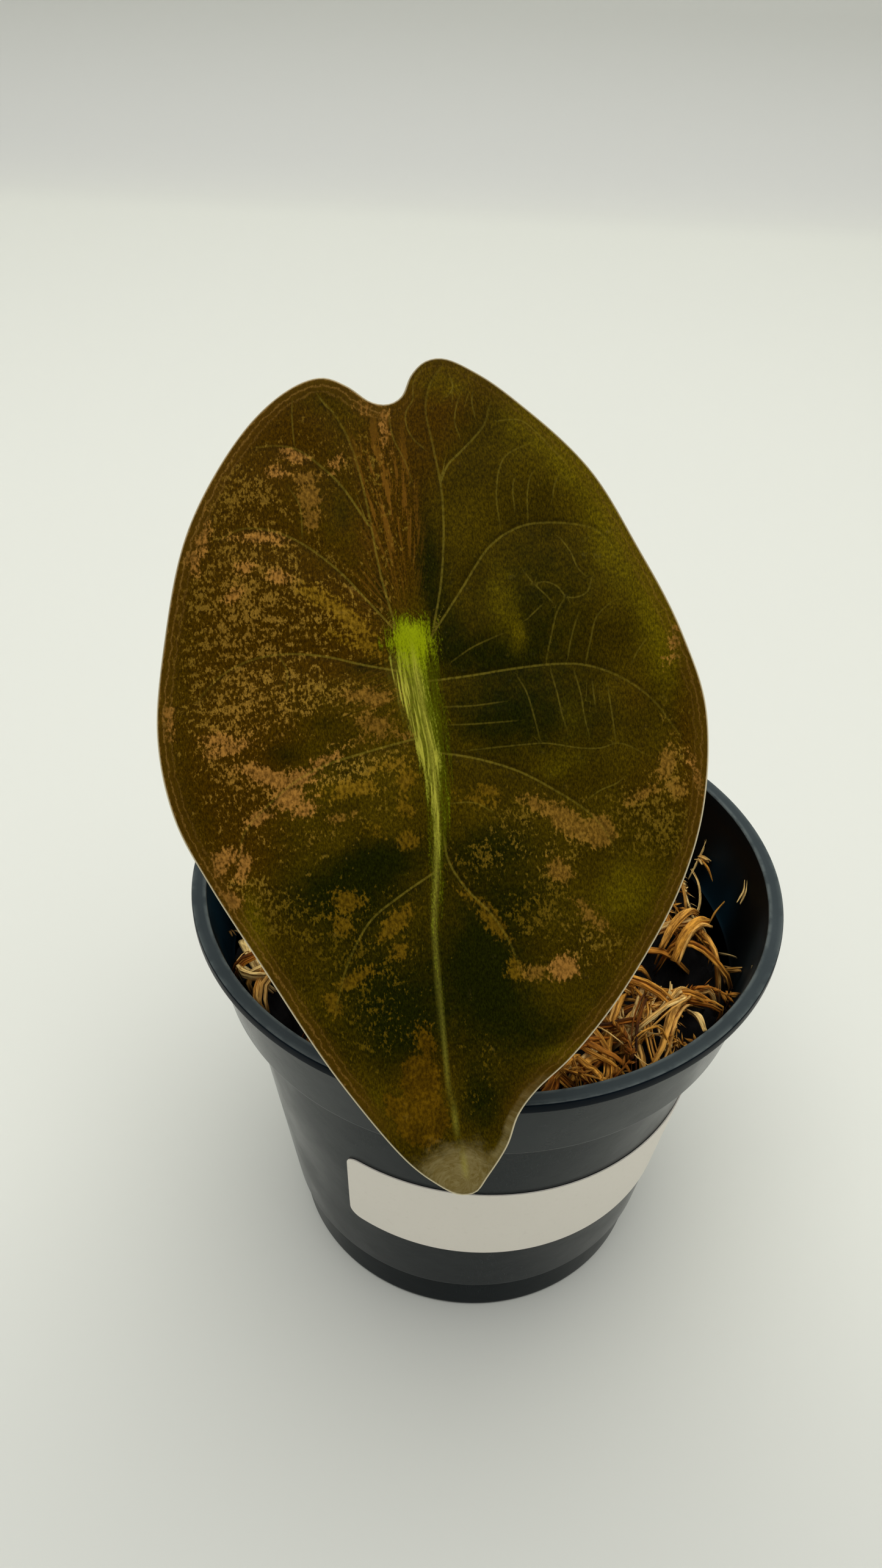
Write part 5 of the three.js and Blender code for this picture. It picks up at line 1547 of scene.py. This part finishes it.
def random_path(rng, lengths, lifts, arches, steps):
    """A wandering path over the moss with its two ends sunk in, its middle and its length."""
    reach, place = MOSS_EDGE_RADIUS * math.sqrt(rng.random()), rng.random() * TURN
    x, y = reach * math.cos(place), reach * math.sin(place)
    length = rng.uniform(*lengths)
    heading, lift, arch = rng.random() * TURN, rng.uniform(*lifts), rng.uniform(*arches)
    shares = np.linspace(-0.5, 0.5, PATH_KNOTS)
    bend = rng.normal(0, 0.45)
    turn = heading + bend * shares * 2 + rng.normal(0, 0.12, PATH_KNOTS).cumsum()
    step = length / (PATH_KNOTS - 1)
    px = np.concatenate([[0], np.cumsum(np.cos(turn[:-1]) * step)])
    py = np.concatenate([[0], np.cumsum(np.sin(turn[:-1]) * step)])
    px, py = px - px.mean() + x, py - py.mean() + y
    rise = lift + arch * (1 - 4 * shares ** 2) + rng.normal(0, 0.35, PATH_KNOTS)
    rise[[0, -1]] -= END_SINK
    knots = keep_inside(np.stack([px, py, moss_height(px, py) + rise], 1), KNOT_GAP)
    knots[:, 2] = moss_height(knots[:, 0], knots[:, 1]) + rise
    return evenly(centripetal(knots, samples=8), steps), x, y, length


def add_bundle(heap, rng, centre, fibres, widest, tone, number):
    """Several flat fibres along one path, parting a little."""
    steps = len(centre)
    normals, binormals = tube_frames(centre)
    share = np.linspace(0, 1, steps)
    taper = 0.35 + 0.65 * np.sin(np.pi * np.clip(share, 0.04, 0.96))
    for fibre in range(fibres):
        part = rng.normal(0, 0.75) * widest * (0.6 + 0.8 * np.abs(share - 0.5) * 2 * rng.random())
        lift = rng.normal(0, 0.22) + rng.normal(0, 0.25) * (share - 0.5)
        path = centre + binormals * part[:, None] + normals * lift[:, None]
        wide = rng.uniform(0.35, 1) * widest * taper
        shade = tone + rng.normal(0, 0.1)
        thick = wide * rng.uniform(0.3, 0.5)
        add_strand(heap, path, wide, thick, rng.normal(0, 0.8), shade, number + fibre)


def make_moss_strands(material):
    """Broad strands, each a bundle of flat fibres."""
    rng = np.random.default_rng(MOSS_SEED)
    heap = Heap()
    number = 0
    for _ in range(MOSS_BUNDLES):
        centre, x, y, _ = random_path(rng, (8, 20), (-1.2, 1.2), (0, 2.2), BUNDLE_STEPS)
        usual = rng.normal(0.44, 0.2) + 0.1 * (y > 10) + 0.2 * (x < -15)
        tone = float(np.clip(usual, 0.05, 1))
        if crosses_open_place(centre):
            continue
        add_bundle(heap, rng, centre, rng.integers(3, 7), rng.uniform(0.34, 0.68), tone, number)
        number += NUMBERS_PER_BUNDLE
    for points, widest, tone in PLACED_STRANDS:
        centre = evenly(centripetal(points, samples=10), 16)
        add_bundle(heap, rng, centre, 4 if widest > 0.5 else 2, widest * 0.75, tone, number)
        number += NUMBERS_PER_BUNDLE
    strands = heap.build("moss_strands")
    add_piece(strands, "moss_fibre", ["moss"], material)


def add_leaflet(heap, rng, base, direction, up, tone, number):
    """A small pointed scale leaf, thin but closed."""
    length, width = rng.uniform(0.9, 1.9), rng.uniform(0.45, 0.8)
    tone = tone + rng.normal(0, 0.08)
    side = np.cross(direction, up)
    middle = base + direction * length * 0.45
    points = np.array([
        base, middle + side * width / 2, base + direction * length, middle - side * width / 2,
        middle + up * 0.1, middle - up * 0.06,
    ])
    triangles = [(0, 1, 4), (1, 2, 4), (2, 3, 4), (3, 0, 4), (1, 0, 5), (2, 1, 5), (3, 2, 5), (0, 3, 5)]
    across, along = np.array([0, 0.5, 0, -0.5, 0, 0]), np.array([0, 0.5, 1, 0.5, 0.5, 0.5])
    place = np.stack([across, along * length, np.full(6, number * 1.3)], 1)
    # lift sets the painted shade in the moss's hollows
    lift = points[:, 2] - moss_level(points[:, 0], points[:, 1])
    heap.add(points, np.zeros((0, 4), int), triangles, tone=tone, strand_mm=place, lift=lift)


def make_moss_threads(material):
    """Thin stems over the broad strands, many of them feathered with tiny scale leaves."""
    rng = np.random.default_rng(MOSS_SEED + 1)
    heap = Heap()
    spans = THREAD_STEPS - 1
    for number in range(MOSS_THREADS):
        path, _, _, length = random_path(rng, (6, 20), (-0.4, 1.6), (0, 2.8), THREAD_STEPS)
        wide = rng.uniform(0.12, 0.3) * (1 - 0.6 * np.linspace(0, 1, THREAD_STEPS))
        tone = float(np.clip(rng.normal(0.52, 0.2), 0.15, 1))
        if crosses_open_place(path):
            continue
        add_strand(heap, path, wide, wide * 0.7, 0.0, tone, number)
        if rng.random() >= FEATHERED_SHARE:
            continue
        for _ in range(int(length * LEAFLETS_PER_MM)):
            share = rng.uniform(0.08, 1)
            index = min(int(share * spans), spans - 1)
            span = path[index + 1] - path[index]
            tangent = span / np.linalg.norm(span)
            out = rng.normal(0, 1, 3)
            out -= tangent * (out @ tangent)
            out /= np.linalg.norm(out)
            base = path[index] + span * (share * spans - index)
            add_leaflet(heap, rng, base, tangent * 0.75 + out * 0.66, out, tone, number)
    threads = heap.build("moss_threads")
    add_piece(threads, "moss_fibre", [], material)


def make_moss():
    material = make_moss_material()
    make_moss_bed(material)
    make_moss_strands(material)
    make_moss_threads(material)


make_camera()
make_stage()
make_lights()
make_pot()
make_label()
make_moss()
make_corm()
make_petiole()
make_leaf()
